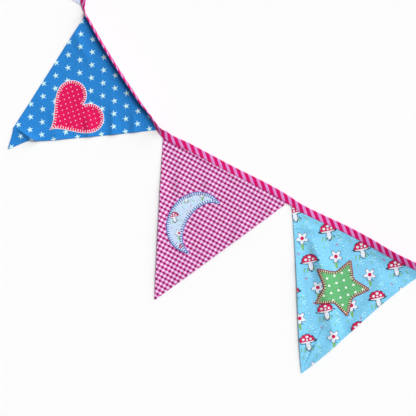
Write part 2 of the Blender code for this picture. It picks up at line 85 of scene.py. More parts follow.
# The tape's open edge, from tail to tail. Roll is how far the tape is turned up on that edge, and lift how
# far the edge is off the surface.
Station = namedtuple("Station", "mark x y roll lift")
STATIONS = [
    Station("tail_start", -0.14205, 0.58078, 0, 0),
    Station("plain_start", -0.1549, 0.4917, 0, 0),
    Station("", -0.1651, 0.4210, 0, 0),
    Station("", -0.1752, 0.3510, 30, 0),
    Station("plain_end", -0.1842, 0.2940, 34, -0.0003),
    Station("", -0.1816, 0.2866, 52, -0.0010),
    Station("stars_start", -0.1782, 0.2815, 94, -0.0038),
    Station("", -0.1519, 0.2372, 101, 0),
    Station("", -0.1261, 0.1958, 101, 0),
    Station("", -0.0988, 0.1545, 98, 0),
    Station("", -0.0872, 0.1372, 86, -0.0005),
    Station("stars_end", -0.0744, 0.1138, 62, -0.0010),
    Station("", -0.0709, 0.1078, 38, 0),
    Station("check_start", -0.0661, 0.1031, 14, 0),
    Station("", -0.0300, 0.0839, 2, 0),
    Station("", 0.0230, 0.0557, 0, 0),
    Station("check_end", 0.1137, 0.0075, 3, 0),
    Station("", 0.1170, 0.0053, 5, 0),
    Station("print_start", 0.1205, 0.0028, 5, 0),
    Station("", 0.1618, -0.0189, 2, 0),
    Station("", 0.1972, -0.0353, 6, 0.0010),
    Station("", 0.2316, -0.0534, 17, 0.0026),
    Station("", 0.2652, -0.0722, 30, 0.0040),
    Station("print_end", 0.3102, -0.0948, 25, 0.0028),
    Station("", 0.3390, -0.1139, 5, 0.0004),
    Station("tail_end", 0.3871, -0.1401, 0, 0),
]

# Each pennant hangs between two marks of the tape. Its bow and wave are how far its sides swell and sway.
Pennant = namedtuple("Pennant", "node start end tip_x tip_y left_bow left_wave right_bow right_wave")
PENNANTS = [
    Pennant("pennant_plain", "plain_start", "plain_end", -0.3758, 0.4225, 0.0006, 0, 0.0006, 0),
    Pennant("pennant_stars", "stars_start", "stars_end", -0.2984, 0.0908, 0, 0, -0.0005, 0.0005),
    Pennant("pennant_check", "check_start", "check_end", -0.0777, -0.1315, 0, 0, 0, 0),
    Pennant("pennant_print", "print_start", "print_end", 0.1349, -0.2382,
            -0.0008, -0.0008, -0.0022, -0.0020),
]

# Soft folds in the cloth. A fold's crest runs through its points, with its height in millimetres there and
# how far it falls away to the left and to the right of the way the points run. A crease of 1 is a sharp
# crest on that side, and 0 a rounded one.
Crest = namedtuple("Crest", "x y height left right")
Fold = namedtuple("Fold", "left_crease right_crease crest")
FOLDS = {
    "pennant_plain": [
        Fold(0, 0, [Crest(-0.262, 0.470, 0, 20, 20), Crest(-0.250, 0.425, 1.6, 30, 25),
                    Crest(-0.246, 0.372, 0, 20, 20)]),
    ],
    "pennant_stars": [
        Fold(0, 0.6, [Crest(-0.196, 0.258, 0.6, 12, 8), Crest(-0.187, 0.238, 2.8, 16, 12),
                      Crest(-0.176, 0.217, 1.2, 12, 9), Crest(-0.168, 0.203, 0, 10, 8)]),
        Fold(0, 0.6, [Crest(-0.142, 0.156, 0, 10, 8), Crest(-0.1400, 0.134, 2.8, 15, 10),
                      Crest(-0.1390, 0.118, 3.6, 15, 10), Crest(-0.1400, 0.105, 3.0, 14, 10)]),
        Fold(0, 0.5, [Crest(-0.176, 0.140, 0, 10, 8), Crest(-0.1745, 0.126, 2.4, 14, 10),
                      Crest(-0.1735, 0.114, 3.0, 14, 10), Crest(-0.1740, 0.104, 2.4, 13, 10)]),
        Fold(0, 0.6, [Crest(-0.112, 0.154, 0, 10, 8), Crest(-0.1090, 0.136, 2.6, 13, 9),
                      Crest(-0.1080, 0.120, 3.2, 14, 9), Crest(-0.1085, 0.109, 2.6, 13, 9)]),
        Fold(0, 0.4, [Crest(-0.228, 0.152, 0, 12, 8), Crest(-0.224, 0.124, 1.8, 22, 9),
                      Crest(-0.222, 0.100, 1.2, 20, 9)]),
        Fold(0, 0, [Crest(-0.215, 0.103, 0.2, 20, 20), Crest(-0.240, 0.103, 0.8, 20, 30),
                    Crest(-0.268, 0.108, 1.4, 20, 34)]),
        Fold(0, 0, [Crest(-0.195, 0.262, 0, 12, 20), Crest(-0.187, 0.247, 1.8, 16, 40),
                    Crest(-0.158, 0.192, 2.4, 16, 60), Crest(-0.130, 0.151, 1.8, 16, 50),
                    Crest(-0.110, 0.128, 0, 12, 18)]),
    ],
    "pennant_check": [
        Fold(0, 0, [Crest(-0.0684, 0.076, 0.6, 14, 6), Crest(-0.0702, 0.040, 2.7, 15, 6),
                    Crest(-0.0739, -0.030, 2.9, 20, 6), Crest(-0.0771, -0.095, 2.2, 24, 6),
                    Crest(-0.0785, -0.122, 0.6, 10, 6)]),
        Fold(0, 0, [Crest(0.090, -0.012, 0.4, 8, 10), Crest(0.051, -0.0405, 2.8, 8, 18),
                    Crest(-0.014, -0.0880, 2.8, 8, 18), Crest(-0.057, -0.1190, 0.4, 8, 8)]),
        Fold(0, 0.5, [Crest(-0.040, 0.072, 0.2, 14, 9), Crest(-0.043, 0.036, 2.0, 18, 12),
                      Crest(-0.042, 0.006, 0, 12, 8)]),
        Fold(0, 0.5, [Crest(0.002, 0.056, 0, 14, 8), Crest(-0.001, 0.036, 2.0, 18, 12),
                      Crest(-0.006, 0.012, 1.2, 16, 10), Crest(-0.010, -0.010, 0, 10, 8)]),
        Fold(0, 0.5, [Crest(0.094, 0.008, 0.2, 12, 8), Crest(0.091, -0.004, 2.0, 14, 12),
                      Crest(0.080, -0.018, 1.2, 12, 10)]),
        Fold(0, 0.5, [Crest(0.054, 0.004, 0, 12, 8), Crest(0.046, -0.018, 1.8, 18, 12),
                      Crest(0.038, -0.042, 1.0, 14, 10)]),
    ],
    "pennant_print": [
        Fold(0.2, 0.35, [Crest(0.1470, -0.0400, 0, 10, 8), Crest(0.1530, -0.0540, 3.6, 18, 12),
                         Crest(0.1594, -0.0720, 5.4, 22, 15), Crest(0.1645, -0.0900, 6.0, 23, 17),
                         Crest(0.1680, -0.1060, 5.6, 24, 18), Crest(0.1695, -0.1300, 4.8, 24, 19),
                         Crest(0.1706, -0.1455, 4.8, 20, 18), Crest(0.1737, -0.1576, 4.8, 19, 18),
                         Crest(0.1777, -0.1700, 5.0, 18, 20), Crest(0.1810, -0.1817, 5.0, 17, 22),
                         Crest(0.1812, -0.1938, 4.8, 13, 23), Crest(0.1700, -0.2080, 4.2, 9, 16),
                         Crest(0.1570, -0.2200, 3.2, 7, 11), Crest(0.1430, -0.2320, 0.6, 5, 5)]),
        Fold(0, 0, [Crest(0.1690, -0.1620, 0.4, 12, 12), Crest(0.1576, -0.1853, 2.2, 13, 13),
                    Crest(0.1501, -0.2016, 2.4, 12, 12), Crest(0.1420, -0.2190, 1.8, 8, 8),
                    Crest(0.1365, -0.2315, 0.4, 4, 4)]),
        Fold(1, 1, [Crest(0.1690, -0.1620, -0.3, 4, 4), Crest(0.1576, -0.1853, -2.3, 3.4, 4.5),
                    Crest(0.1501, -0.2016, -2.5, 3.2, 4.5), Crest(0.1420, -0.2190, -1.9, 2.6, 3.5),
                    Crest(0.1365, -0.2315, -0.4, 2, 2.5)]),
        Fold(0, 0.5, [Crest(0.1275, -0.0270, 0.8, 8, 6), Crest(0.1470, -0.0310, 1.6, 12, 7),
                      Crest(0.1640, -0.0330, 0, 8, 6)]),
        Fold(0, 0.3, [Crest(0.2520, -0.0860, 0, 16, 12), Crest(0.2490, -0.1030, 3.4, 20, 14),
                      Crest(0.2400, -0.1240, 4.2, 22, 15), Crest(0.2250, -0.1480, 3.8, 18, 15),
                      Crest(0.2100, -0.1690, 2.8, 14, 13)]),
        Fold(0, 0, [Crest(0.2600, -0.1000, 0.6, 18, 12), Crest(0.2650, -0.1180, 2.4, 20, 16),
                    Crest(0.2580, -0.1380, 1.6, 18, 14)]),
        Fold(0, 0.4, [Crest(0.1225, -0.0300, 0.8, 12, 6), Crest(0.1252, -0.0800, 2.4, 13, 6),
                      Crest(0.1278, -0.1300, 2.7, 14, 6), Crest(0.1312, -0.1900, 2.8, 19, 6),
                      Crest(0.1335, -0.2280, 0.8, 6, 6)]),
    ],
}

# The star pennant's point is turned in about a place on its side, and the spare cloth stands in a tuck.
# Flat is the angle of the cloth before it is tucked, plan its angle as it lies, rise the height per radius.
TUCK_X, TUCK_Y = -0.2812, 0.1186
TUCK_NEAR, TUCK_FAR = 0.022, 0.050     # it dies away between these distances from its point
Tuck = namedtuple("Tuck", "flat plan rise")
TUCK = [
    Tuck(58, 58, 0),
    Tuck(0, 0, 0),
    Tuck(-14, -13.8, 0.035),
    Tuck(-26, -25.0, 0.110),
    Tuck(-35, -31.5, 0.210),
    Tuck(-41, -35.0, 0.240),
    Tuck(-48, -38.0, 0.160),
    Tuck(-55, -42.5, 0.060),
    Tuck(-63, -49.0, 0),
    Tuck(-130, -113.0, 0),
]

# Patches sewn to the pennants: middle, size and turn against the pennant's own upright
Patch = namedtuple("Patch", "node pennant shape x y width height turn flat_share")
PATCHES = [
    Patch("patch_heart", "pennant_stars", "heart", -0.1993, 0.1372, 0.084, 0.078, 5, 0.62),
    Patch("patch_moon", "pennant_check", "moon", -0.0300, -0.0140, 0.054, 0.092, 176, 0.51),
    Patch("patch_star", "pennant_print", "star", 0.1905, -0.1148, 0.088, 0.088, 6, 0.40),
]
PATCH = 0.00055           # thickness of a patch
PATCH_GAP = 0.00004       # it stands this far clear of its ground
STAR_POINTS = 5
STAR_WAIST = 0.53         # radius of a waist over that of a point
STAR_EASE = 0.13          # corners are eased over this share of a side, each way
MOON_SPREAD = 112         # half the turn of the crescent's outer arc, in degrees
MOON_BITE = 0.68          # with the next one, the width of the crescent's middle, in radii of that arc
MOON_INNER_SHIFT = 0.03   # its inner curve is moved away from the arc by this
MOON_INNER_SHARE = 0.965  # height of the inner curve's ends over that of the outer arc's ends
MOON_TIP = 0.995          # its skin is closed at this share of the way to its points

# Sewing round the patches: its colour, and that of the shorter stitches between its prongs, if any
Sewing = namedtuple("Sewing", "node prong pitch thickness edge_thickness colour between")
SEWING = [
    Sewing("patch_heart", 0.0044, 0.0036, 0.0010, 0.0011, (250, 244, 252), None),
    Sewing("patch_moon", 0.0042, 0.0034, 0.0014, 0.0014, (88, 124, 194), (236, 244, 252)),
    Sewing("patch_star", 0.0042, 0.0031, 0.0012, 0.0014, (148, 12, 52), (238, 226, 204)),
]
BETWEEN_FROM = 0.12       # where the shorter stitches begin and end, as shares of a prong
BETWEEN_TO = 0.85
BETWEEN_THICKNESS = 0.9   # over that of a prong
OPEN_CORNER = 1.3         # no prong stands where a chord of the edge, a prong each way, is under this many
PRONG_SHARES = np.array([-0.08, 0, 0.2, 0.6, 0.92, 1])      # places along a prong, from outside the edge
PRONG_RISES = np.array([-0.2, 0.5, 1.25, 1.3, 1, 0.3])      # and heights there, in patch thicknesses
EDGING_RISE = 0.75
EDGING_OVERLAP = 0.04     # each piece of edging runs this share into the next
TANGENT_STEP = 0.0008
BLUNT = 0.45              # radius of a thread's end over its own
TAPE_STITCH = 0.0024
TAPE_STITCH_PITCH = 0.0031
TAPE_STITCH_THICKNESS = 0.00045
TAPE_STITCH_INSET = 0.0009    # from the tape's open edge
TAPE_STITCH_FIRST = 0.004     # from the tape's ends
TAPE_STITCH_LAST = 0.006
TAPE_STITCH_SUNK = 0.0002
TAPE_STITCH_ARCH = 0.0001
GROOVE = 0.00016              # the stitches draw the tape in by this much
GROOVE_WIDTH = 0.0005
EDGE_EASE = 0.00022           # rounding of the open edge
EDGE_EASE_OVER = 0.00025
PUCKER = 0.00009              # slight puckers of the tape beside the stitches
PUCKER_LENGTHS = 0.0083, 0.031
PUCKER_REACH = 0.004

# How fine the surfaces are
COLUMNS = 120
RIM_SHARES = [0, 0.0006, 0.0018, 0.0036, 0.007, 0.012]
INSIDE_ROWS = [-INSET, -INSET / 2, -0.001]    # a pennant's rows in the tape's fold
CURL_TO = 0.024           # its rows are close together up to here from the tape
CURL_ROWS = 26
BODY_ROWS = 124
BODY_TO_POINT = 0.003     # and again in the last part before its point
POINT_ROWS = np.array([0.002, 0.0012, 0.0006, 0.0003, 0.0001, 0])
TAPE_STEP = 0.0016
TAPE_END_STEP = 0.0004
# Places across the tape from its open edge
TAPE_PLACES = np.array([0, 0.0003, 0.0007, 0.0010, 0.0014, 0.0018, 0.0024, *np.linspace(0.0032, 0.0094, 8)])
TAPE_FOLD_TURNS = [12, 30, 50, 70]      # degrees round the fold
OUTLINE_POINTS = 360
# Sizes of a patch's loops, as shares of its outline
RING_SHARES = np.array([*np.linspace(0.03, 0.9, 22), 0.94, 0.965, 0.982, 0.993, 1])
RING_LEVEL = 0.965        # a patch's face is level up to this share of its outline
MOON_LOOPS = 120
MOON_COLUMNS = 12
MOON_RIM = [0, 0.015, 0.04, 0.08]
STITCH_POINTS = 5
FLOOR_HALF = 40
FLOOR_DROP = 0.0001       # the floor is this far under the frame's own surface

# Unevenness of laid cloth: a number of waves, each turned and longer than the one before
RIPPLES = 11
RIPPLE_TURN = 2.4
RIPPLE_PHASE = 1.7
RIPPLE_SHORTEST = 0.016
RIPPLE_STEP = 0.0042
RIPPLE_SLOPE = 0.0022     # height of a ripple per length
RIPPLE_CLEAR = 0.0003

# Prints, in millimetres of the cloth's own measure, with turns in degrees. Stars and dots stand on
# oblique lattices, each given by two steps.
SMALL_STAR_KNOT = -186.0, 215.3
SMALL_STAR_STEPS = (-0.63, -18.65), (17.03, -7.33)
SMALL_STAR_TURN = -13
SMALL_STAR_RADIUS = 4.9
SMALL_STAR_WAIST = 1.8
DOT_STEPS = (0.94, 0.34), (-0.26, 0.92)       # times the pitch
FIGURE_STEPS = (26.5, 6.5), (-8.0, 25.0)
DASH_KNOT = -12.0, 9.0
DASH_STEPS = (13.25, 3.25), (-4.0, 12.5)
# Middles and radii of a cap's spots, and feet of the blades of grass
SPOTS = [((-3.6, 3.9), (1.5, 1.3)), ((0.6, 5.9), (1.6, 1.3)),
         ((3.9, 3.4), (1.3, 1.2)), ((0.2, 2.9), (1.1, 0.9))]
BLADES = [(-2.7, -7.0), (2.6, -6.8), (7.6, -6.2)]
Bands = namedtuple("Bands", "turn period start share")
WARP = Bands(-27.8, 5.93, 4.432, 0.53)
WEFT = Bands(60.9, 6.27, 6.023, 0.50)
HATCH = Bands(28, 1.9, 0, 0.42)
VEINS = Bands(65, 1.9, 0, 0.40)
STRIPE_SLANT = 1.05       # along the tape for each step round it
STRIPE_PERIOD = 12.71
STRIPE_START = 9.2        # from the gingham pennant's corner
PALE_STRIPE = 0.42        # share of the tape's cloth that is pale
EDGE_OF_PRINT = 0.3       # width over which a print's colour begins
EDGE_OF_BANDS = 0.35      # the same for bands, in the height of their wave

# Lights. Share is how much of the floor's light each gives, height and azimuth in degrees, the azimuth
# anticlockwise from +X, and width the angle across the light.
SURROUND = 0.20
Light = namedtuple("Light", "name share azimuth height width")
LIGHTS = [
    Light("key", 0.63, 36, 66, 30),
    Light("low_fill", 0.20, 42, 28, 44),
]


def smooth(t):
    """3t^2 - 2t^3 with t held to 0..1, so it runs from 0 to 1 with level ends."""
    t = np.clip(t, 0, 1)
    return t * t * (3 - 2 * t)


def slopes(knots, values, monotone):
    """Slope at each knot, from its two neighbours; a monotone curve's is held, so it never overshoots."""
    step = np.diff(knots)[:, None]
    rise = np.diff(values, axis=0) / step
    middle = (rise[:-1] * step[1:] + rise[1:] * step[:-1]) / (step[:-1] + step[1:])
    if monotone:
        turns = rise[:-1] * rise[1:] <= 0
        limit = 2 * np.minimum(abs(rise[:-1]), abs(rise[1:]))
        middle = np.where(turns, 0, np.clip(middle, -limit, limit))
    return np.concatenate([rise[:1], middle, rise[-1:]])


def curve_through(knots, values, at, monotone=False):
    """Cubic Hermite curve through the rows of values at the knots, read at other places."""
    knots, at = np.asarray(knots, float), np.asarray(at, float)
    values = np.asarray(values, float).reshape(len(knots), -1)
    slope = slopes(knots, values, monotone)
    i = np.clip(np.searchsorted(knots, at, side="right") - 1, 0, len(knots) - 2)
    step = (knots[i + 1] - knots[i])[..., None]
    t = (at - knots[i])[..., None] / step
    start = values[i] * (1 + 2 * t) * (1 - t) ** 2 + slope[i] * step * t * (1 - t) ** 2
    read = start + values[i + 1] * t * t * (3 - 2 * t) + slope[i + 1] * step * t * t * (t - 1)
    return read if read.shape[-1] > 1 else read[..., 0]


STATION_STEPS = [math.hypot(b.x - a.x, b.y - a.y) for a, b in zip(STATIONS, STATIONS[1:])]
REACH = np.concatenate([[0], np.cumsum(STATION_STEPS)])     # each station's distance along the tape
MARKS = {row.mark: reach for row, reach in zip(STATIONS, REACH) if row.mark}
NECK = (MARKS["plain_end"] + MARKS["stars_start"]) / 2


def open_half_at(along):
    """Half the opening of the tape's fold: wide over a pennant's edge and almost shut between pennants."""
    opened = np.zeros(np.shape(along))
    for pennant in PENNANTS:
        from_start = along - MARKS[pennant.start] + SHUT_OVER
        to_end = MARKS[pennant.end] + SHUT_OVER - along
        opened = np.maximum(opened, smooth(np.minimum(from_start, to_end) / SHUT_OVER))
    return CLOSED_GAP + (OPEN_HALF - CLOSED_GAP) * opened


def tape_frame(along):
    """At distances along the tape: its open edge, the way across it, the way out of its face, its roll.

    The edge lies on the surface where the tape is flat, and on the cloth's curl where it is turned up.
    """
    along = np.asarray(along, float)
    route = [(row.x, row.y) for row in STATIONS]
    x, y = curve_through(REACH, route, along).T
    roll = np.radians(curve_through(REACH, [row.roll for row in STATIONS], along, monotone=True))
    nudge = 1e-4
    heading = curve_through(REACH, route, along + nudge) - curve_through(REACH, route, along - nudge)
    heading /= np.linalg.norm(heading, axis=1, keepdims=True)
    outward = np.stack([-heading[:, 1], heading[:, 0], np.zeros(len(along))], 1)
    gather_reach = np.where(along < NECK, GATHER_BEFORE, GATHER_AFTER)
    gather = 1 - GATHER * np.exp(-((along - NECK) / gather_reach) ** 2)
    across = (outward * np.cos(roll)[:, None] + UP * np.sin(roll)[:, None]) * gather[:, None]
    facing = UP * np.cos(roll)[:, None] - outward * np.sin(roll)[:, None]
    half = open_half_at(along) + LEG
    lift = curve_through(REACH, [row.lift for row in STATIONS], along, monotone=True) + LIFT
    height = CURL_RADIUS * (1 - np.cos(roll)) + np.maximum(half * np.cos(roll), CLOTH / 2) + lift
    return np.stack([x, y, height], 1), across, facing, roll


def curl(roll, away):
    """Plan distance and height of cloth that leaves the tape at its roll and bends level on an arc.

    With s the distance from the tape and R the radius, the cloth has turned by s / R: its plan distance is
    R (sin roll - sin(roll - s / R)) and its height R (1 - cos(roll - s / R)), and past the arc it is level.
    """
    turned = np.minimum(away / CURL_RADIUS, roll)
    straight = np.maximum(away - CURL_RADIUS * roll, 0)
    run = CURL_RADIUS * (np.sin(roll) - np.sin(roll - turned)) + straight
    return run, CURL_RADIUS * (1 - np.cos(roll - turned))


def fold_height(fold, x, y):
    """Height of one soft fold: h (1 - s)^2 (1 + 2 r s), with s the distance from its crest over its width.

    r is 1 less the side's crease: 1 leaves a rounded crest level, and 0 leaves a sharp one at a slope.
    """
    best = np.full(np.shape(x), 1e9)
    height = np.zeros(np.shape(x))
    for a, b in zip(fold.crest, fold.crest[1:]):
        dx, dy = b.x - a.x, b.y - a.y
        t = np.clip(((x - a.x) * dx + (y - a.y) * dy) / (dx * dx + dy * dy), 0, 1)
        off_x, off_y = x - a.x - t * dx, y - a.y - t * dy
        distance = np.hypot(off_x, off_y)
        on_left = dx * off_y - dy * off_x > 0
        width = np.where(on_left, a.left + t * (b.left - a.left), a.right + t * (b.right - a.right)) / 1000
        share = np.clip(distance / width, 0, 1)
        rounding = 1 - np.where(on_left, fold.left_crease, fold.right_crease)
        here = (a.height + t * (b.height - a.height)) / 1000 * (1 - share) ** 2 * (1 + 2 * rounding * share)
        height = np.where(distance < best, here, height)
        best = np.minimum(distance, best)
    return height


def ripple(x, y):
    """Slight unevenness of laid cloth: a sum of sine waves of several lengths and directions."""
    total = np.zeros(np.shape(x))
    for k in range(RIPPLES):
        angle = RIPPLE_TURN * k
        length = RIPPLE_SHORTEST + RIPPLE_STEP * k
        phase = (x * math.cos(angle) + y * math.sin(angle)) / length + RIPPLE_PHASE * k
        total = total + np.sin(2 * math.pi * phase) * length
    return total * RIPPLE_SLOPE


def relief(node, x, y):
    """Height of a pennant's folds and unevenness over its flat lie; never below it."""
    folds = sum((fold_height(fold, x, y) for fold in FOLDS[node]), np.zeros(np.shape(x)))
    return np.maximum(folds + ripple(x, y) + RIPPLE_CLEAR, 0)


def tucked(x, y):
    """Plan place and height of the star pennant's cloth once its point is turned in.

    In polar measure about the tuck's own point, the angle is read off the table and the radius is kept.
    """
    off_x, off_y = x - TUCK_X, y - TUCK_Y
    radius = np.hypot(off_x, off_y)
    angle = np.degrees(np.arctan2(off_y, off_x))
    rows = TUCK[::-1]
    knots = [row.flat for row in rows]
    inside = (angle > knots[0]) & (angle < knots[-1])
    held = np.clip(angle, knots[0], knots[-1])
    plan = curve_through(knots, [row.plan for row in rows], held, monotone=True)
    rise = curve_through(knots, [row.rise for row in rows], held, monotone=True)
    plan = np.radians(np.where(inside, plan, angle))
    fade = 1 - smooth((radius - TUCK_NEAR) / (TUCK_FAR - TUCK_NEAR))
    height = np.where(inside, rise, 0) * radius * fade
    return TUCK_X + radius * np.cos(plan), TUCK_Y + radius * np.sin(plan), height


def top_edge(pennant):
    """The two top corners of a pennant, where it leaves the tape."""
    corners, _, _, _ = tape_frame([MARKS[pennant.start], MARKS[pennant.end]])
    return corners


def depth_of(pennant):
    """Plan distance from the middle of the pennant's top edge to its point."""
    middle = top_edge(pennant).mean(axis=0)
    return math.hypot(pennant.tip_x - middle[0], pennant.tip_y - middle[1])


def base_line(edge):
    """Direction and length of the line between a pennant's corners on the tape."""
    base = edge[-1] - edge[0]
    width = np.linalg.norm(base)
    return base / width, width


def pushed_sideways(pennant, u, down):
    """How far cloth is pushed along the base by the swell and sway of its sides.

    At a side it is bow sin(pi down) + wave sin(2 pi down), fading to nothing at the pennant's middle.
    """
    swell, sway = np.sin(math.pi * down), np.sin(2 * math.pi * down)
    left = (pennant.left_bow * swell + pennant.left_wave * sway) * np.clip(1 - 2 * u, 0, 1)
    right = (pennant.right_bow * swell + pennant.right_wave * sway) * np.clip(2 * u - 1, 0, 1)
    return right - left


def on_lines(pennant, edge, u, down, pushed):
    """Plan places on straight lines to the point: edge + (point - edge) * down, pushed along the base."""
    base, _ = base_line(edge)
    places = []
    for axis, tip in enumerate((pennant.tip_x, pennant.tip_y)):
        point = tip + (u - 0.5) * TIP_WIDTH * base[axis]
        start = edge[:, axis][:, None]
        places.append(start + (point - start) * down + pushed * base[axis])
    return places


def laid_height(edge, roll, away, curled):
    """Height of the cloth's middle: its curl below the tape and an easing from the tape to the surface."""
    above = edge[:, 2][:, None] - LIFT - CLOTH / 2 - CURL_RADIUS * (1 - np.cos(roll))
    ease = np.clip(away / (EASE + EASE_MORE * above), 0, 1)
    drop = above * (1 - ease) ** 2 * (1 + EASE_ROUND * ease)
    return LIFT + CLOTH / 2 + np.maximum(curled + drop, 0)


def cloth_thickness(from_side, from_end, settle):
    """Thickness of a pennant: the cloth, the seams turned in beside its sides, and a quarter-round rim."""
    from_rim = np.minimum(from_side, from_end)
    seam = smooth((SEAM_WIDTH - from_side) / SEAM_EASE) * settle * smooth(from_side / SEAM_FROM)
    round_rim = np.sqrt(np.clip(1 - (1 - np.clip(from_rim / RIM, RIM_LEAST, 1)) ** 2, 0, 1))
    return CLOTH * round_rim + SEAM_EXTRA * seam


def cloth_normals(points, aways, away, roll, facing):
    """Unit normals of a pennant's mid-surface, on the side of the tape's face, and upwards once level.

    They are square to the surface near the tape, turn upright further out, and are the tape's own in it.
    """
    normal = np.cross(np.gradient(points, axis=1), np.gradient(points, axis=0))
    normal[..., :2] *= (1 - smooth((aways - SQUARE_TO) / (UPRIGHT_FROM - SQUARE_TO)))[None, :, None]
    normal /= np.maximum(np.linalg.norm(normal, axis=-1, keepdims=True), 1e-12)
    levelled = smooth(away / np.maximum(CURL_RADIUS * roll, 1e-6))[..., None]
    own_side = facing[:, None, :] * (1 - levelled) + UP * levelled
    normal *= np.where((normal * own_side).sum(axis=-1, keepdims=True) < 0, -1, 1)
    return np.where((aways <= 0)[None, :, None], facing[:, None, :], normal)


def pennant_surface(pennant, shares, aways):
    """Upper and lower face of a pennant on a grid, and the cloth's flat measure there.

    The grid runs over shares of the top edge and distances from the tape. A negative distance is cloth in
    the tape's fold, in the tape's own plane. Below the tape the cloth runs on straight lines, in plan, from
    the top edge to the point, as far down as its run over the full run, and its height is the curl below
    the tape, the easing from a flat tape to the surface, and its folds.
    """
    along = MARKS[pennant.start] + shares * (MARKS[pennant.end] - MARKS[pennant.start])
    edge, across, facing, roll = tape_frame(along)
    u, away = np.meshgrid(shares, aways, indexing="ij")
    roll = np.broadcast_to(roll[:, None], u.shape)
    run, curled = curl(roll, np.maximum(away, 0))
    full_run, _ = curl(roll, np.full(u.shape, depth_of(pennant)))
    down = run / full_run
    pushed = pushed_sideways(pennant, u, down)
    x, y = on_lines(pennant, edge, u, down, pushed)

    # The cloth's own measure is the plan one, stretched out along the curl
    level = CURL_RADIUS * (roll - np.sin(roll))
    cloth = np.stack(on_lines(pennant, edge, u, (away - level) / full_run, pushed), -1)

    settle = smooth(away / EASE)
    z = laid_height(edge, roll, away, curled) + relief(pennant.node, x, y) * settle
    if pennant.node == "pennant_stars":
        x, y, tuck_height = tucked(x, y)
        z = z + tuck_height
    sewn = edge[:, None, :] - across[:, None, :] * away[..., None]
    points = np.where((away < 0)[..., None], sewn, np.stack([x, y, z], -1))

    _, width = base_line(edge)
    from_side = np.minimum(u, 1 - u) * (width * (1 - down) + TIP_WIDTH * down)
    thickness = cloth_thickness(from_side, full_run - run, settle)
    normal = cloth_normals(points, aways, away, roll, facing)
    upper = points + normal * thickness[..., None] / 2
    lower = points - normal * np.minimum(thickness, CLOTH)[..., None] / 2
    lower[..., 2] = np.maximum(lower[..., 2], LIFT)
    return upper, lower, cloth


def spread(fine, count):
    """Shares from 0 to 1: the given fine ones at both ends and even steps between."""
    middle = np.linspace(fine[-1], 1 - fine[-1], count)
    return np.concatenate([fine[:-1], middle, 1 - np.array(fine[:-1])[::-1]])


def lofts(name, loops, cloth, material):
    """A mesh of closed skins: each runs through loops of points, from a capped first one to a capped last.

    loops is (skins, loops, points round, 3) and cloth the same with the 2 measures of the UV map. A cap is
    a strip of faces between the two halves of its loop.
    """
    skins, count, around, _ = loops.shape
    i, j = np.meshgrid(np.arange(count - 1), np.arange(around), indexing="ij")
    a, b = i * around + j, i * around + (j + 1) % around
    sides = np.stack([a, b, b + around, a + around], -1).reshape(-1, 4)
    j = np.arange(around // 2 - 1)
    first = np.stack([j, around - 1 - j, around - 2 - j, j + 1], -1)
    last = first[:, ::-1] + (count - 1) * around
    faces = np.concatenate([sides, first, last])
    offsets = np.arange(skins)[:, None, None] * count * around
    faces = (faces[None] + offsets).reshape(-1, 4)
    mesh = bpy.data.meshes.new(name)
    mesh.vertices.add(skins * count * around)
    placed_loops = loops.reshape(-1, 3) - LAYOUT_CENTRE
    placed_loops[:, 2] = np.maximum(placed_loops[:, 2], LOWEST)
    mesh.vertices.foreach_set("co", placed_loops.astype(np.float32).ravel())
    mesh.loops.add(faces.size)
    mesh.loops.foreach_set("vertex_index", faces.astype(np.int32).ravel())
    mesh.polygons.add(len(faces))
    mesh.polygons.foreach_set("loop_start", np.arange(0, faces.size, 4, dtype=np.int32))
    mesh.update(calc_edges=True)
    measure = mesh.uv_layers.new(name="cloth")
    measure.data.foreach_set("uv", cloth.reshape(-1, 2)[faces.ravel()].astype(np.float32).ravel())
    mesh.shade_smooth()
    mesh.materials.append(material)
    made = bpy.data.objects.new(name, mesh)
    bpy.context.scene.collection.objects.link(made)
    return made


def tubes(paths, radius, sides=6):
    """Loops of round tubes along paths of points, (tubes, points, 3), narrowing to a blunt end.

    A point's loop is P + r (cos t * side + sin t * up), with side square to the path and level.
    """
    along = np.gradient(paths, axis=1)
    along /= np.linalg.norm(along, axis=-1, keepdims=True)
    side = np.cross(along, UP)
    side /= np.linalg.norm(side, axis=-1, keepdims=True)
    up = np.cross(side, along)
    t = np.linspace(0, 2 * math.pi, sides, endpoint=False)
    taper = np.full(paths.shape[1], radius)
    taper[[0, -1]] *= BLUNT
    ring = side[:, :, None, :] * np.cos(t)[:, None] + up[:, :, None, :] * np.sin(t)[:, None]
    return paths[:, :, None, :] + ring * taper[None, :, None, None]


def make_pennant(pennant, material):
    """A pennant's closed skin: its upper face from side to side, and its lower face back."""
    shares = spread(RIM_SHARES, COLUMNS)
    depth = depth_of(pennant)
    curled = np.linspace(0, CURL_TO, CURL_ROWS)
    body = np.linspace(CURL_TO, depth - BODY_TO_POINT, BODY_ROWS)[1:]
    aways = np.concatenate([INSIDE_ROWS, curled, body, depth - POINT_ROWS])
    upper, lower, cloth = pennant_surface(pennant, shares, aways)
    loops = np.concatenate([upper, lower[:, ::-1]], axis=1)
    cloth = np.concatenate([cloth, cloth[:, ::-1]], axis=1)
    made = lofts(pennant.node + "_cloth", loops[None], cloth[None], material)
    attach(made, "root")
    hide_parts(pennant.node)
    return made


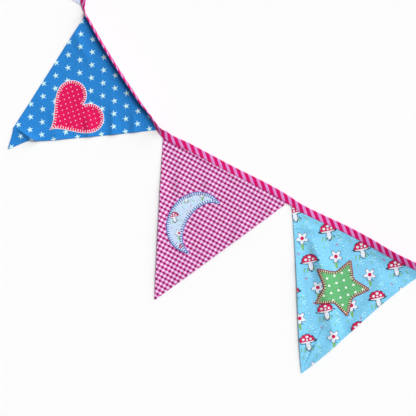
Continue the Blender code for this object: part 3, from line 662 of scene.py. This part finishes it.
def tape_outside(along, half):
    """Half of a section's outer side, from the open edge to the fold: how far across and how far out.

    Its flat part stands out by half the tape's thickness, less the groove of the sewing and the easing at
    the edge, with puckers that fade across. The rest is a quarter round.
    """
    w = TAPE_PLACES
    t = np.radians(TAPE_FOLD_TURNS)
    short, long = PUCKER_LENGTHS
    pucker = PUCKER * np.sin(2 * math.pi * along / short) * np.sin(2 * math.pi * along / long)
    groove = GROOVE * np.exp(-((w - TAPE_STITCH_INSET) / GROOVE_WIDTH) ** 2)
    eased = EDGE_EASE * np.exp(-w / EDGE_EASE_OVER)
    flat_h = half + pucker[:, None] * np.exp(-w / PUCKER_REACH) - groove - eased
    round_w = TAPE_WIDTH - half + half * np.sin(t)
    round_h = half * np.cos(t)
    return (np.concatenate([np.broadcast_to(w, flat_h.shape), round_w], 1),
            np.concatenate([flat_h, round_h], 1))


def tape_loops(along):
    """Sections of the folded tape along its route, and the cloth's measure: along and round the fold.

    A section's outer side runs from the upper open edge round the fold to the lower one. Its inner side
    runs back at half the fold's opening, no deeper than the slot.
    """
    edge, across, facing, _ = tape_frame(along)
    gap = open_half_at(along)
    from_end = np.minimum(along - along[0], along[-1] - along)
    leg = LEG * (1 + TURNED_EXTRA * smooth((TURNED_END - from_end) / TURNED_FADE))
    upper_w, upper_h = tape_outside(along, (gap + leg)[:, None])
    fold_w = np.full((len(along), 1), TAPE_WIDTH)
    outer_w = np.concatenate([upper_w, fold_w, upper_w[:, ::-1]], 1)
    outer_h = np.concatenate([upper_h, fold_w * 0, -upper_h[:, ::-1]], 1)
    inner_w = np.minimum(outer_w, SLOT_DEPTH)[:, ::-1]
    share = np.linspace(1, -1, outer_w.shape[1])[::-1]
    inner_h = np.clip(share * 4, -1, 1) * gap[:, None]
    section_w = np.concatenate([outer_w, inner_w], 1)
    section_h = np.concatenate([outer_h, inner_h], 1)
    points = edge[:, None, :] + across[:, None, :] * section_w[..., None]
    points = points + facing[:, None, :] * section_h[..., None]
    girth = np.concatenate([upper_w, fold_w, 2 * TAPE_WIDTH - upper_w[:, ::-1]], 1)
    girth = np.concatenate([girth, girth[:, ::-1]], 1)
    return points, np.stack([np.broadcast_to(along[:, None], girth.shape), girth], -1)


def make_tape(material):
    """The tape's closed skin, with closer sections where its ends are turned in."""
    even = np.linspace(0, REACH[-1], int(REACH[-1] / TAPE_STEP))
    along = np.unique(np.concatenate([even, [TAPE_END_STEP, TURNED_END, TURNED_END + TURNED_FADE]]))
    points, cloth = tape_loops(along)
    made = lofts("tape_cloth", points[None], cloth[None], material)
    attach(made, "root")
    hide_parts("tape")
    return made


def make_tape_sewing(material):
    """A row of stitches near the open edge, on both faces of the tape: each a low half wave of a sine."""
    starts = np.arange(TAPE_STITCH_FIRST, REACH[-1] - TAPE_STITCH_LAST, TAPE_STITCH_PITCH)
    t = np.linspace(0, 1, STITCH_POINTS)
    along = (starts[:, None] + t * TAPE_STITCH).ravel()
    edge, across, facing, _ = tape_frame(along)
    arch = np.tile(np.sin(math.pi * t), len(starts)) * TAPE_STITCH_ARCH
    out = open_half_at(along) + LEG - TAPE_STITCH_SUNK + arch
    middle = edge + across * TAPE_STITCH_INSET
    paths = [middle + facing * out[:, None] * sign for sign in (1, -1)]
    paths = np.concatenate([p.reshape(len(starts), len(t), 3) for p in paths])
    loops = tubes(paths, TAPE_STITCH_THICKNESS / 2)
    made = lofts("tape_sewing", loops, loops[..., :2], material)
    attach(made, "root")
    return made


def heart_outline(t):
    """x = 16 sin^3 t, y = 13 cos t - 5 cos 2t - 2 cos 3t - cos 4t, scaled to a size of 1."""
    x = 16 * np.sin(t) ** 3
    y = 13 * np.cos(t) - 5 * np.cos(2 * t) - 2 * np.cos(3 * t) - np.cos(4 * t)
    return np.stack([x / 32, (y + 2.5) / 29], -1)


def star_outline(t):
    """Straight runs between points and waists, eased at the corners by a running mean round the outline."""
    corner = np.arange(2 * STAR_POINTS + 1)
    radius = np.where(corner % 2 == 0, 0.5, 0.5 * STAR_WAIST)
    corner_x = radius * np.sin(corner * math.pi / STAR_POINTS)
    corner_y = radius * np.cos(corner * math.pi / STAR_POINTS)
    share = t / (2 * math.pi) * 2 * STAR_POINTS
    shifts = np.linspace(-STAR_EASE, STAR_EASE, 9)
    at = (share + shifts[:, None]) % (2 * STAR_POINTS)
    x = np.interp(at, corner, corner_x).mean(axis=0)
    y = np.interp(at, corner, corner_y).mean(axis=0)
    return np.stack([x, y], -1)


def moon_sides(t):
    """Outer and inner curves of a crescent as high as 1, for t from -1 to 1: an arc and half an ellipse."""
    spread_angle = math.radians(MOON_SPREAD)
    outer = np.stack([np.cos(t * spread_angle), np.sin(t * spread_angle)], -1)
    tip_x, tip_y = math.cos(spread_angle), math.sin(spread_angle)
    inner_x = tip_x + (1 - MOON_BITE - tip_x) * np.cos(t * math.pi / 2) - MOON_INNER_SHIFT
    inner = np.stack([inner_x, tip_y * MOON_INNER_SHARE * np.sin(t * math.pi / 2)], -1)
    middle = np.array(((1 + tip_x) / 2, 0))
    size = np.array((1 - tip_x, 2))
    return (outer - middle) / size, (inner - middle) / size


def placed(patch, flat):
    """Plan places of points of a patch's own drawing, whose top is towards the tape."""
    pennant = next(p for p in PENNANTS if p.node == patch.pennant)
    start, end = top_edge(pennant)
    turn = math.atan2(end[1] - start[1], end[0] - start[0]) + math.radians(patch.turn)
    scaled = flat * (patch.width, patch.height)
    x = patch.x + scaled[..., 0] * math.cos(turn) - scaled[..., 1] * math.sin(turn)
    y = patch.y + scaled[..., 0] * math.sin(turn) + scaled[..., 1] * math.cos(turn)
    return x, y


def cloth_top(node, x, y):
    """Height of the upper face of a pennant's cloth away from the tape and its edges."""
    return LIFT + CLOTH + relief(node, x, y)


def moon_drawing():
    """The crescent's drawing: its loops run across it, from point to point, and its sides are rounded."""
    t = np.sin(np.linspace(-1, 1, MOON_LOOPS) * math.pi / 2) * MOON_TIP
    outer, inner = moon_sides(t)
    outline = np.concatenate([outer, inner[::-1]])[::-1]
    across = spread(MOON_RIM, MOON_COLUMNS)
    from_side = np.minimum(across, 1 - across) / MOON_RIM[-1]
    rise = np.sqrt(np.clip(1 - (1 - np.minimum(from_side, 1)) ** 2, 0.25, 1))
    top = outer[:, None, :] + (inner - outer)[:, None, :] * across[None, :, None]
    loops = np.concatenate([top, top[:, ::-1]], 1)
    return outline, loops, np.broadcast_to(np.concatenate([rise, 0 * rise]), loops.shape[:2])


def ring_drawing(outline):
    """The drawing of a patch round its middle: loops are its outline, ever larger on top, and back below."""
    over = np.maximum(RING_SHARES - RING_LEVEL, 0) / (1 - RING_LEVEL)
    rise = 1 - over ** 2 * 0.5
    top = outline[None] * RING_SHARES[:, None, None]
    loops = np.concatenate([top, top[::-1]])
    return outline, loops, np.broadcast_to(np.concatenate([rise, 0 * rise])[:, None], loops.shape[:2])


def patch_drawing(patch):
    """Outline of a patch in its own drawing, closed and clockwise, and its skin's loops and their rise.

    A rise of 1 is the patch's upper face and 0 its lower one.
    """
    if patch.shape == "moon":
        return moon_drawing()
    t = np.linspace(0, 2 * math.pi, OUTLINE_POINTS, endpoint=False)
    return ring_drawing(heart_outline(t) if patch.shape == "heart" else star_outline(t))


def make_patch(patch, material):
    """A patch's closed skin, laid over the folds of the cloth under it."""
    _, flat, rise = patch_drawing(patch)
    x, y = placed(patch, flat)
    z = cloth_top(patch.pennant, x, y) + PATCH_GAP + PATCH * rise
    loops = np.stack([x, y, z], -1)
    made = lofts(patch.node + "_cloth", loops[None], loops[None, ..., :2], material)
    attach(made, "root")
    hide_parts(patch.node)
    return made


def patch_edge(patch):
    """A patch's outline in plan, closed, and the distance of each of its points along it."""
    outline, _, _ = patch_drawing(patch)
    ring = np.stack(placed(patch, outline), 1)
    closed = np.concatenate([ring, ring[:1]])
    steps = np.linalg.norm(np.diff(closed, axis=0), axis=1)
    return closed, np.concatenate([[0], np.cumsum(steps)])


def on_edge(edge, distance):
    """Plan places at distances along a closed outline."""
    closed, reach = edge
    distance = distance % reach[-1]
    x = np.interp(distance, reach, closed[:, 0])
    y = np.interp(distance, reach, closed[:, 1])
    return np.stack([x, y], -1)


def over_patch(patch, plan, rise):
    """Points at plan places over a patch's ground, raised by a number of patch thicknesses."""
    z = cloth_top(patch.pennant, plan[..., 0], plan[..., 1]) + PATCH * rise
    return np.concatenate([plan, z[..., None]], -1)


def prong_paths(patch, edge, places, length, first=0, last=1):
    """Paths of threads that run inwards, square to a patch's edge, between two shares of a length."""
    tangent = on_edge(edge, places + TANGENT_STEP) - on_edge(edge, places - TANGENT_STEP)
    tangent /= np.linalg.norm(tangent, axis=-1, keepdims=True)
    inward = np.stack([tangent[:, 1], -tangent[:, 0]], 1)
    t = first + (last - first) * PRONG_SHARES
    plan = on_edge(edge, places)[:, None, :] + inward[:, None, :] * (t * length)[None, :, None]
    return over_patch(patch, plan, PRONG_RISES)


def make_patch_thread(patch, name, paths, thickness, material):
    """One mesh of round threads along paths over a patch."""
    loops = tubes(paths, thickness / 2)
    made = lofts(patch.node + name, loops, loops[..., :2], material)
    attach(made, "root")
    return made


def make_patch_sewing(patch, sewing, material, between):
    """Blanket stitch: a thread laid round the patch's edge and prongs from it towards the middle."""
    edge = patch_edge(patch)
    length_round = edge[1][-1]
    count = int(length_round / sewing.pitch)
    step = length_round / count
    stops = np.arange(count) * step
    ahead, behind = on_edge(edge, stops + sewing.prong), on_edge(edge, stops - sewing.prong)
    chord = np.linalg.norm(ahead - behind, axis=-1)
    open_stops = stops[chord > OPEN_CORNER * sewing.prong]

    paths = prong_paths(patch, edge, open_stops, sewing.prong)
    pieces = [make_patch_thread(patch, "_prongs", paths, sewing.thickness, material)]
    if between:
        paths = prong_paths(patch, edge, open_stops + step / 2, sewing.prong, BETWEEN_FROM, BETWEEN_TO)
        thickness = sewing.thickness * BETWEEN_THICKNESS
        pieces.append(make_patch_thread(patch, "_between", paths, thickness, between))
    along = stops[:, None] + np.linspace(-EDGING_OVERLAP, 1 + EDGING_OVERLAP, STITCH_POINTS) * step
    paths = over_patch(patch, on_edge(edge, along), EDGING_RISE)
    pieces.append(make_patch_thread(patch, "_edging", paths, sewing.edge_thickness, material))
    return pieces


def tone(red, green, blue):
    """A colour given as it shows on a screen, in the linear measure that shaders take."""
    return tuple((c / 255) ** 2.2 for c in (red, green, blue))


class Wire:
    """A value in a node tree that sums can be written with: each sum adds a Math node."""

    def __init__(self, tree, socket):
        self.tree = tree
        self.socket = socket

    def math(self, operation, *others):
        """This wire and others through a Math node."""
        node = self.tree.nodes.new("ShaderNodeMath")
        node.operation = operation
        for value, slot in zip((self, *others), node.inputs):
            plug(self.tree, value, slot)
        return Wire(self.tree, node.outputs[0])

    def __add__(self, other):
        return self.math("ADD", other)

    def __sub__(self, other):
        return self.math("SUBTRACT", other)

    def __mul__(self, other):
        return self.math("MULTIPLY", other)

    def __truediv__(self, other):
        return self.math("DIVIDE", other)

    def within(self, soft):
        """1 where this is above 0, easing to 0 over a width of soft."""
        node = self.tree.nodes.new("ShaderNodeMath")
        node.operation = "MULTIPLY_ADD"
        node.use_clamp = True
        for value, slot in zip((self, 1 / soft, 0.5), node.inputs):
            plug(self.tree, value, slot)
        return Wire(self.tree, node.outputs[0])


def plug(tree, value, slot):
    """Links a wire to a slot, or sets the slot to a plain value."""
    if isinstance(value, Wire):
        tree.links.new(value.socket, slot)
    else:
        slot.default_value = value


def new_group(name, inputs, outputs):
    """An empty node group, its inputs as wires, and a function that sets its outputs."""
    group = bpy.data.node_groups.new(name, "ShaderNodeTree")
    for label, kind in inputs:
        group.interface.new_socket(label, in_out="INPUT", socket_type=kind)
    for label, kind in outputs:
        group.interface.new_socket(label, in_out="OUTPUT", socket_type=kind)
    source = group.nodes.new("NodeGroupInput")
    target = group.nodes.new("NodeGroupOutput")
    wires = [Wire(group, source.outputs[label]) for label, _ in inputs]

    def finish_group(**values):
        """Feeds the group's outputs, each by its label."""
        for label, value in values.items():
            plug(group, value, target.inputs[label])

    return group, wires, finish_group


def millimetres(tree, vector):
    """x and y of a measure in metres, as wires in millimetres."""
    node = tree.nodes.new("ShaderNodeSeparateXYZ")
    tree.links.new(vector.socket, node.inputs[0])
    return Wire(tree, node.outputs[0]) * 1000, Wire(tree, node.outputs[1]) * 1000


def noise(tree, vector, scale, detail):
    """Soft noise about 0.5 on a measure in metres."""
    node = tree.nodes.new("ShaderNodeTexNoise")
    node.inputs["Scale"].default_value = scale
    node.inputs["Detail"].default_value = detail
    tree.links.new(vector.socket, node.inputs["Vector"])
    return Wire(tree, node.outputs["Fac"])


def nearest(x, y, first, second):
    """Place from the nearest knot of a lattice with two basis steps, and the knot's two whole numbers."""
    size = first[0] * second[1] - first[1] * second[0]
    s = (x * (second[1] / size) - y * (second[0] / size)).math("ROUND")
    t = (y * (first[0] / size) - x * (first[1] / size)).math("ROUND")
    return x - s * first[0] - t * second[0], y - s * first[1] - t * second[1], s, t


def most(first, *others):
    """The greatest of several values: with distances inside, it joins their shapes."""
    for other in others:
        first = first.math("MAXIMUM", other)
    return first


def blob(x, y, middle, radii):
    """Distance inside an ellipse, about right near its edge."""
    across = (x - middle[0]) / radii[0]
    up = (y - middle[1]) / radii[1]
    reach = (across * across + up * up).math("SQRT")
    return (reach * -1 + 1) * min(radii)


def turned(x, y, degrees):
    """x and y turned about the origin."""
    c, s = math.cos(math.radians(degrees)), math.sin(math.radians(degrees))
    return x * c - y * s, x * s + y * c


def star_inside(x, y, radius, waist):
    """Distance inside a star with a point up.

    The angle is folded into one half of a point, where the star's side is one straight line.
    """
    half_point = math.pi / STAR_POINTS
    reach = (x * x + y * y).math("SQRT")
    angle = x.math("ARCTAN2", y) + half_point
    folded = (angle.math("FLOORED_MODULO", 2 * half_point) - half_point).math("ABSOLUTE")
    px, py = reach * folded.math("COSINE"), reach * folded.math("SINE")
    vx, vy = waist * math.cos(half_point) - radius, waist * math.sin(half_point)
    length = math.hypot(vx, vy)
    return (px - radius) * (-vy / length) + py * (vx / length)


def stars_group():
    """Small stars on an oblique lattice."""
    group, (vector,), done = new_group("small_stars", [("Cloth", "NodeSocketVector")],
                                       [("Mask", "NodeSocketFloat")])
    x, y = millimetres(group, vector)
    knot_x, knot_y = SMALL_STAR_KNOT
    dx, dy, _, _ = nearest(x - knot_x, y - knot_y, *SMALL_STAR_STEPS)
    dx, dy = turned(dx, dy, SMALL_STAR_TURN)
    done(Mask=star_inside(dx, dy, SMALL_STAR_RADIUS, SMALL_STAR_WAIST).within(EDGE_OF_PRINT))
    return group


def bands(x, y, stripes):
    """1 on a stripe and 0 beside it, for stripes square to a direction that take a share of the ground."""
    along, _ = turned(x, y, -stripes.turn)
    wave = ((along - stripes.start) * (2 * math.pi / stripes.period)).math("COSINE")
    return (wave - math.cos(math.pi * stripes.share)).within(EDGE_OF_BANDS)


def gingham_group():
    """Woven check: where only the warp is coloured, where only the weft is, and where both are."""
    group, (vector,), done = new_group(
        "gingham", [("Cloth", "NodeSocketVector")],
        [(label, "NodeSocketFloat") for label in ("Warp", "Weft", "Both")])
    x, y = millimetres(group, vector)
    warp = bands(x, y, WARP)
    weft = bands(x, y, WEFT)
    done(Warp=warp, Weft=weft * (warp * -1 + 1), Both=warp * weft)
    return group


def stripes_group():
    """Slanting stripes of the tape, from its measure along and round the fold."""
    group, (vector,), done = new_group("slant_stripes", [("Cloth", "NodeSocketVector")],
                                       [("Mask", "NodeSocketFloat")])
    along, around = millimetres(group, vector)
    start = (MARKS["check_start"] + STRIPE_SLANT * TAPE_WIDTH) * 1000 + STRIPE_START
    wave = ((along + around * STRIPE_SLANT - start) * (2 * math.pi / STRIPE_PERIOD)).math("COSINE")
    done(Mask=(wave - math.cos(math.pi * PALE_STRIPE)).within(EDGE_OF_BANDS))
    return group


def dots_group():
    """Round dots on an oblique lattice of a given pitch."""
    group, (vector, pitch, radius), done = new_group(
        "dots",
        [("Cloth", "NodeSocketVector"), ("Pitch", "NodeSocketFloat"), ("Radius", "NodeSocketFloat")],
        [("Mask", "NodeSocketFloat")])
    x, y = millimetres(group, vector)
    dx, dy, _, _ = nearest(x / pitch, y / pitch, *DOT_STEPS)
    reach = (dx * dx + dy * dy).math("SQRT") * pitch
    done(Mask=(radius - reach).within(EDGE_OF_PRINT))
    return group


def toadstool(x, y):
    """Distances inside a toadstool's cap, its pale parts, its spots and the grass at its foot."""
    cap = blob(x, y, (0, 2.2), (7.6, 6.4)).math("MINIMUM", y - 1.2)
    gills = blob(x, y, (0, 1.2), (6.8, 1.5))
    stalk = blob(x, y, (0.3, -3.2), (2.2, 4.6))
    spots = most(*(blob(x, y, middle, radii) for middle, radii in SPOTS))
    grass = blob(x - y * 0.3, y, (-5.4, -6.4), (0.55, 2.6))
    for foot_x, foot_y in BLADES:
        grass = most(grass, blob(x + y * (0.12 * foot_x), y, (foot_x * 0.6, foot_y), (0.55, 2.4)))
    return cap, most(gills, stalk), spots, grass


def blossom(x, y, reach):
    """Distances inside a blossom's five petals, r = 4.9 + 1.5 cos 5t, its heart and the leaf beside it."""
    lobes = (y.math("ARCTAN2", x) * 5.0).math("COSINE")
    petals = lobes * 1.5 + 4.9 - reach
    heart = reach * -1 + 1.9
    return petals, heart, blob(x + y * 0.5, y, (-0.5, -8.0), (1.5, 2.8))


def dash_and_swirl(x, y):
    """Distances inside a short dash, and inside a swirl: part of a ring with a tail."""
    dash = blob(x + y * 0.9, y, (0.0, 0.0), (0.6, 1.3))
    reach = ((x - 5.0) * (x - 5.0) + (y - 2.0) * (y - 2.0)).math("SQRT")
    ring = ((reach - 3.6).math("ABSOLUTE") * -1 + 0.42).math("MINIMUM", x + y - 4.0)
    return dash, most(ring, blob(x, y, (4.2, 2.4), (1.3, 0.5)))


def print_group():
    """A small print: spotted toadstools and blossoms in turn, with swirls and short dashes between them.

    Each mask is where that colour shows.
    """
    group, (vector, shift_x, shift_y, scale), done = new_group(
        "small_print",
        [("Cloth", "NodeSocketVector"), ("Shift X", "NodeSocketFloat"), ("Shift Y", "NodeSocketFloat"),
         ("Scale", "NodeSocketFloat")],
        [(label, "NodeSocketFloat") for label in ("Grey", "White", "Crimson", "Green", "Pale")])
    x, y = millimetres(group, vector)
    x, y = (x + shift_x) / scale, (y + shift_y) / scale
    dx, dy, s, t = nearest(x, y, *FIGURE_STEPS)
    odd = (s + t).math("FLOORED_MODULO", 2.0)
    even = odd * -1 + 1

    def in_turn(figure, other, soft=EDGE_OF_PRINT):
        return most(figure.within(soft) * even, other.within(soft) * odd)

    mx, my = turned(dx, dy, -12)
    cap, pale, spots, grass = toadstool(mx, my)
    bx, by = turned(dx, dy, 20)
    reach = (bx * bx + by * by).math("SQRT")
    petals, heart, leaf = blossom(bx, by, reach)
    knot_x, knot_y = DASH_KNOT
    fx, fy, fs, _ = nearest(x - knot_x, y - knot_y, *DASH_STEPS)
    dash, swirl = dash_and_swirl(fx, fy)
    third = fs.math("FLOORED_MODULO", 3.0)
    open_ground = (reach - 10.5).within(0.5)

    broken = (noise(group, vector, 330, 2) - 0.42).within(0.08)
    hatch = bands(mx, my, HATCH) * blob(mx, my, (1.2, -5.6), (5.6, 2.3)).within(0.5) * even
    veins = bands(bx, by, VEINS) * blob(bx, by, (1.6, -4.6), (4.6, 2.0)).within(0.5) * odd
    outline = in_turn(most(cap, pale) + 0.75, petals + 0.7, 0.4)
    spotted = spots.within(EDGE_OF_PRINT) * cap.within(EDGE_OF_PRINT) * even
    dashes = dash.within(EDGE_OF_PRINT) * open_ground
    done(Grey=most(outline * broken, (hatch + veins) * broken),
         White=most(in_turn(pale, petals), spotted),
         Crimson=most(in_turn(cap, heart) * (spotted * -1 + 1), dashes * (third * -1 + 0.5).within(0.2)),
         Green=most(in_turn(grass, leaf), dashes * (third - 0.5).within(0.2)),
         Pale=swirl.within(EDGE_OF_PRINT) * open_ground)
    return group


def weave_group():
    """Plain weave of a given pitch: a slight shade between threads, uneven thread, and a normal."""
    group, (vector, pitch, depth, unevenness), done = new_group(
        "plain_weave",
        [("Cloth", "NodeSocketVector"), ("Pitch", "NodeSocketFloat"), ("Depth", "NodeSocketFloat"),
         ("Unevenness", "NodeSocketFloat")],
        [("Shade", "NodeSocketFloat"), ("Normal", "NodeSocketVector")])
    x, y = millimetres(group, vector)
    over = (x / pitch * math.pi).math("COSINE") * (y / pitch * math.pi).math("COSINE")
    mottle = noise(group, vector, 450, 3) - 0.5
    pucker = noise(group, vector, 95, 2) - 0.5
    bump = group.nodes.new("ShaderNodeBump")
    bump.inputs["Distance"].default_value = 0.001
    bump.inputs["Strength"].default_value = 1
    plug(group, over * depth + mottle * depth * 1.5 + pucker * unevenness, bump.inputs["Height"])
    done(Shade=over * 0.03 + mottle * 0.9 + 1.0, Normal=Wire(group, bump.outputs["Normal"]))
    return group


GROUPS = {
    "stars": stars_group(),
    "gingham": gingham_group(),
    "stripes": stripes_group(),
    "dots": dots_group(),
    "print": print_group(),
    "weave": weave_group(),
}


class Cloth:
    """A cotton material on the piece's own cloth measure, to which prints are added in turn."""

    def __init__(self, name, ground, pitch=0.42, depth=0.035, unevenness=0.25):
        self.material = bpy.data.materials.new(name)
        self.material.use_nodes = True
        self.tree = self.material.node_tree
        self.shader = self.tree.nodes["Principled BSDF"]
        self.shader.inputs["Roughness"].default_value = 0.88
        self.shader.inputs["Specular IOR Level"].default_value = 0.18
        self.shader.inputs["Sheen Weight"].default_value = 0.06
        measure = self.tree.nodes.new("ShaderNodeUVMap")
        measure.uv_map = "cloth"
        self.measure = Wire(self.tree, measure.outputs["UV"])
        self.weave = self.group("weave", Pitch=pitch, Depth=depth, Unevenness=unevenness)
        self.colour = (*tone(*ground), 1)

    def group(self, name, **values):
        """Adds a node group, fed with the cloth measure, and gives its node."""
        node = self.tree.nodes.new("ShaderNodeGroup")
        node.node_tree = GROUPS[name]
        plug(self.tree, self.measure, node.inputs["Cloth"])
        for label, value in values.items():
            node.inputs[label].default_value = value
        return node

    def mix(self, share, colour, mode="MIX"):
        """Mixes a colour, or a wire, over what is there."""
        node = self.tree.nodes.new("ShaderNodeMix")
        node.data_type = "RGBA"
        node.blend_type = mode
        plug(self.tree, share, node.inputs[0])
        plug(self.tree, self.colour, node.inputs[6])
        plug(self.tree, colour, node.inputs[7])
        self.colour = Wire(self.tree, node.outputs[2])

    def add_print(self, group, output, colour, **values):
        """Mixes a colour in where a group's mask is."""
        node = self.group(group, **values)
        self.mix(Wire(self.tree, node.outputs[output]), (*tone(*colour), 1))

    def done(self):
        """Shades the colour by the weave and gives the material."""
        shade = self.tree.nodes.new("ShaderNodeCombineColor")
        for slot in shade.inputs:
            self.tree.links.new(self.weave.outputs["Shade"], slot)
        self.mix(1.0, Wire(self.tree, shade.outputs[0]), "MULTIPLY")
        plug(self.tree, self.colour, self.shader.inputs["Base Color"])
        self.tree.links.new(self.weave.outputs["Normal"], self.shader.inputs["Normal"])
        return self.material


PRINT_COLOURS = [("Pale", (176, 236, 246)), ("Grey", (48, 54, 72)), ("White", (228, 236, 248)),
                 ("Crimson", (206, 36, 84)), ("Green", (128, 186, 104))]
GINGHAM_COLOURS = [("Warp", (226, 140, 206)), ("Weft", (218, 90, 166)), ("Both", (134, 0, 72))]


def printed(name, ground, shift_x, shift_y, scale):
    """Cloth with the small print, moved by a shift in millimetres and drawn at a scale."""
    cloth = Cloth(name, ground)
    node = cloth.group("print", **{"Shift X": shift_x, "Shift Y": shift_y, "Scale": scale})
    for output, colour in PRINT_COLOURS:
        cloth.mix(Wire(cloth.tree, node.outputs[output]), (*tone(*colour), 1))
    return cloth.done()


def star_cloth():
    """Mid-blue cotton with small pale stars."""
    cloth = Cloth("cotton_small_stars", (44, 132, 210))
    cloth.add_print("stars", "Mask", (206, 246, 247))
    return cloth.done()


def gingham_cloth():
    """Near-white cotton with a pink warp and weft, dark where they cross."""
    cloth = Cloth("cotton_gingham", (238, 222, 250), unevenness=0.12)
    node = cloth.group("gingham")
    for output, colour in GINGHAM_COLOURS:
        cloth.mix(Wire(cloth.tree, node.outputs[output]), (*tone(*colour), 1))
    return cloth.done()


def tape_cloth():
    """Strong pink cotton with pale slanting stripes."""
    cloth = Cloth("cotton_slant_stripe", (216, 16, 106), unevenness=0.1)
    cloth.add_print("stripes", "Mask", (222, 146, 214))
    return cloth.done()


def plain_cloth():
    """Plain pale blue cotton."""
    return Cloth("cotton_pale_blue", (214, 222, 246)).done()


def heart_cloth():
    """Crimson cotton with pin dots."""
    cloth = Cloth("cotton_crimson_pin_dots", (226, 26, 92), unevenness=0.1)
    cloth.add_print("dots", "Mask", (250, 196, 218), Pitch=7.2, Radius=0.8)
    return cloth.done()


def green_cloth():
    """Green cotton with white dots."""
    cloth = Cloth("cotton_green_dots", (104, 184, 122), unevenness=0.1)
    cloth.add_print("dots", "Mask", (240, 250, 236), Pitch=11.5, Radius=1.7)
    return cloth.done()


def thread_material(name, colour):
    """Cotton thread of one colour."""
    material = bpy.data.materials.new(name)
    material.use_nodes = True
    shader = material.node_tree.nodes["Principled BSDF"]
    shader.inputs["Base Color"].default_value = (*tone(*colour), 1)
    shader.inputs["Roughness"].default_value = 0.6
    shader.inputs["Specular IOR Level"].default_value = 0.3
    return material


def make_floor():
    """The white surface that the bunting lies on."""
    size = FLOOR_HALF
    mesh = bpy.data.meshes.new("floor")
    corners = [(x, y, -FLOOR_DROP) for x, y in ((-size, -size), (size, -size), (size, size), (-size, size))]
    mesh.from_pydata(corners, [], [(0, 1, 2, 3)])
    floor = bpy.data.objects.new("floor", mesh)
    bpy.context.scene.collection.objects.link(floor)
    material = bpy.data.materials.new("white_surface")
    material.use_nodes = True
    shader = material.node_tree.nodes["Principled BSDF"]
    shader.inputs["Base Color"].default_value = (0.95, 0.95, 0.95, 1)
    shader.inputs["Roughness"].default_value = 1
    shader.inputs["Specular IOR Level"].default_value = 0
    mesh.materials.append(material)
    return floor


def add_lights():
    """An even white surround, a high soft light and a low broad one, both from the upper right."""
    world = bpy.data.worlds.new("surround")
    world.use_nodes = True
    world.node_tree.nodes["Background"].inputs["Color"].default_value = (1, 1, 1, 1)
    world.node_tree.nodes["Background"].inputs["Strength"].default_value = SURROUND
    bpy.context.scene.world = world
    for light in LIGHTS:
        lamp = bpy.data.lights.new(light.name, "SUN")
        lamp.energy = light.share * math.pi / math.sin(math.radians(light.height))
        lamp.angle = math.radians(light.width)
        made = bpy.data.objects.new(light.name, lamp)
        a, e = math.radians(light.azimuth), math.radians(light.height)
        towards = Vector((math.cos(a) * math.cos(e), math.sin(a) * math.cos(e), math.sin(e)))
        made.rotation_euler = towards.to_track_quat("Z", "Y").to_euler()
        bpy.context.scene.collection.objects.link(made)


def add_camera():
    """Straight down over the photograph's middle, with the photograph's width across the frame."""
    lens, sensor = 150, 36
    camera = bpy.data.cameras.new("camera")
    camera.lens = lens
    camera.sensor_width = sensor
    made = bpy.data.objects.new("camera", camera)
    height = PHOTO_PIXELS * PIXEL * lens / sensor
    half_pixel = PIXEL / 2
    made.location = (-half_pixel - LAYOUT_CENTRE[0], half_pixel - LAYOUT_CENTRE[1], height)
    camera.clip_start = 0.1
    camera.clip_end = 100
    bpy.context.scene.collection.objects.link(made)
    bpy.context.scene.camera = made


def main():
    """Sets the floor, lights and cloths, and makes each piece on what it lies on."""
    bpy.context.scene.view_settings.view_transform = "Standard"
    floor = make_floor()
    add_lights()
    cloths = {
        "pennant_plain": plain_cloth(),
        "pennant_stars": star_cloth(),
        "pennant_check": gingham_cloth(),
        "pennant_print": printed("cotton_small_print", (130, 207, 244), 0, 0, 1.42),
        "patch_heart": heart_cloth(),
        "patch_moon": printed("cotton_pale_print", (200, 220, 246), 50, 13, 0.90),
        "patch_star": green_cloth(),
    }
    tape = make_tape(tape_cloth())
    # The tape's thread is a real dark crimson thread, and its dark colour is also painted shade: it stands
    # for the shade line along the groove at the tape's open edge.
    tape_sewing = make_tape_sewing(thread_material("thread_tape_dark_as_edge_shade", (168, 14, 84)))
    grounds = {p.node: make_pennant(p, cloths[p.node]) for p in PENNANTS}
    on_ground = {p.node: [] for p in PENNANTS}
    for patch, sewing in zip(PATCHES, SEWING):
        made = make_patch(patch, cloths[patch.node])
        thread = thread_material("thread_" + patch.shape, sewing.colour)
        between = thread_material("thread_pale_" + patch.shape, sewing.between) if sewing.between else None
        threads = make_patch_sewing(patch, sewing, thread, between)
        on_ground[patch.pennant] = [made, *threads]
    for pennant in PENNANTS:
        corners = top_edge(pennant)
        length = depth_of(pennant) + INSET
    add_camera()


main()
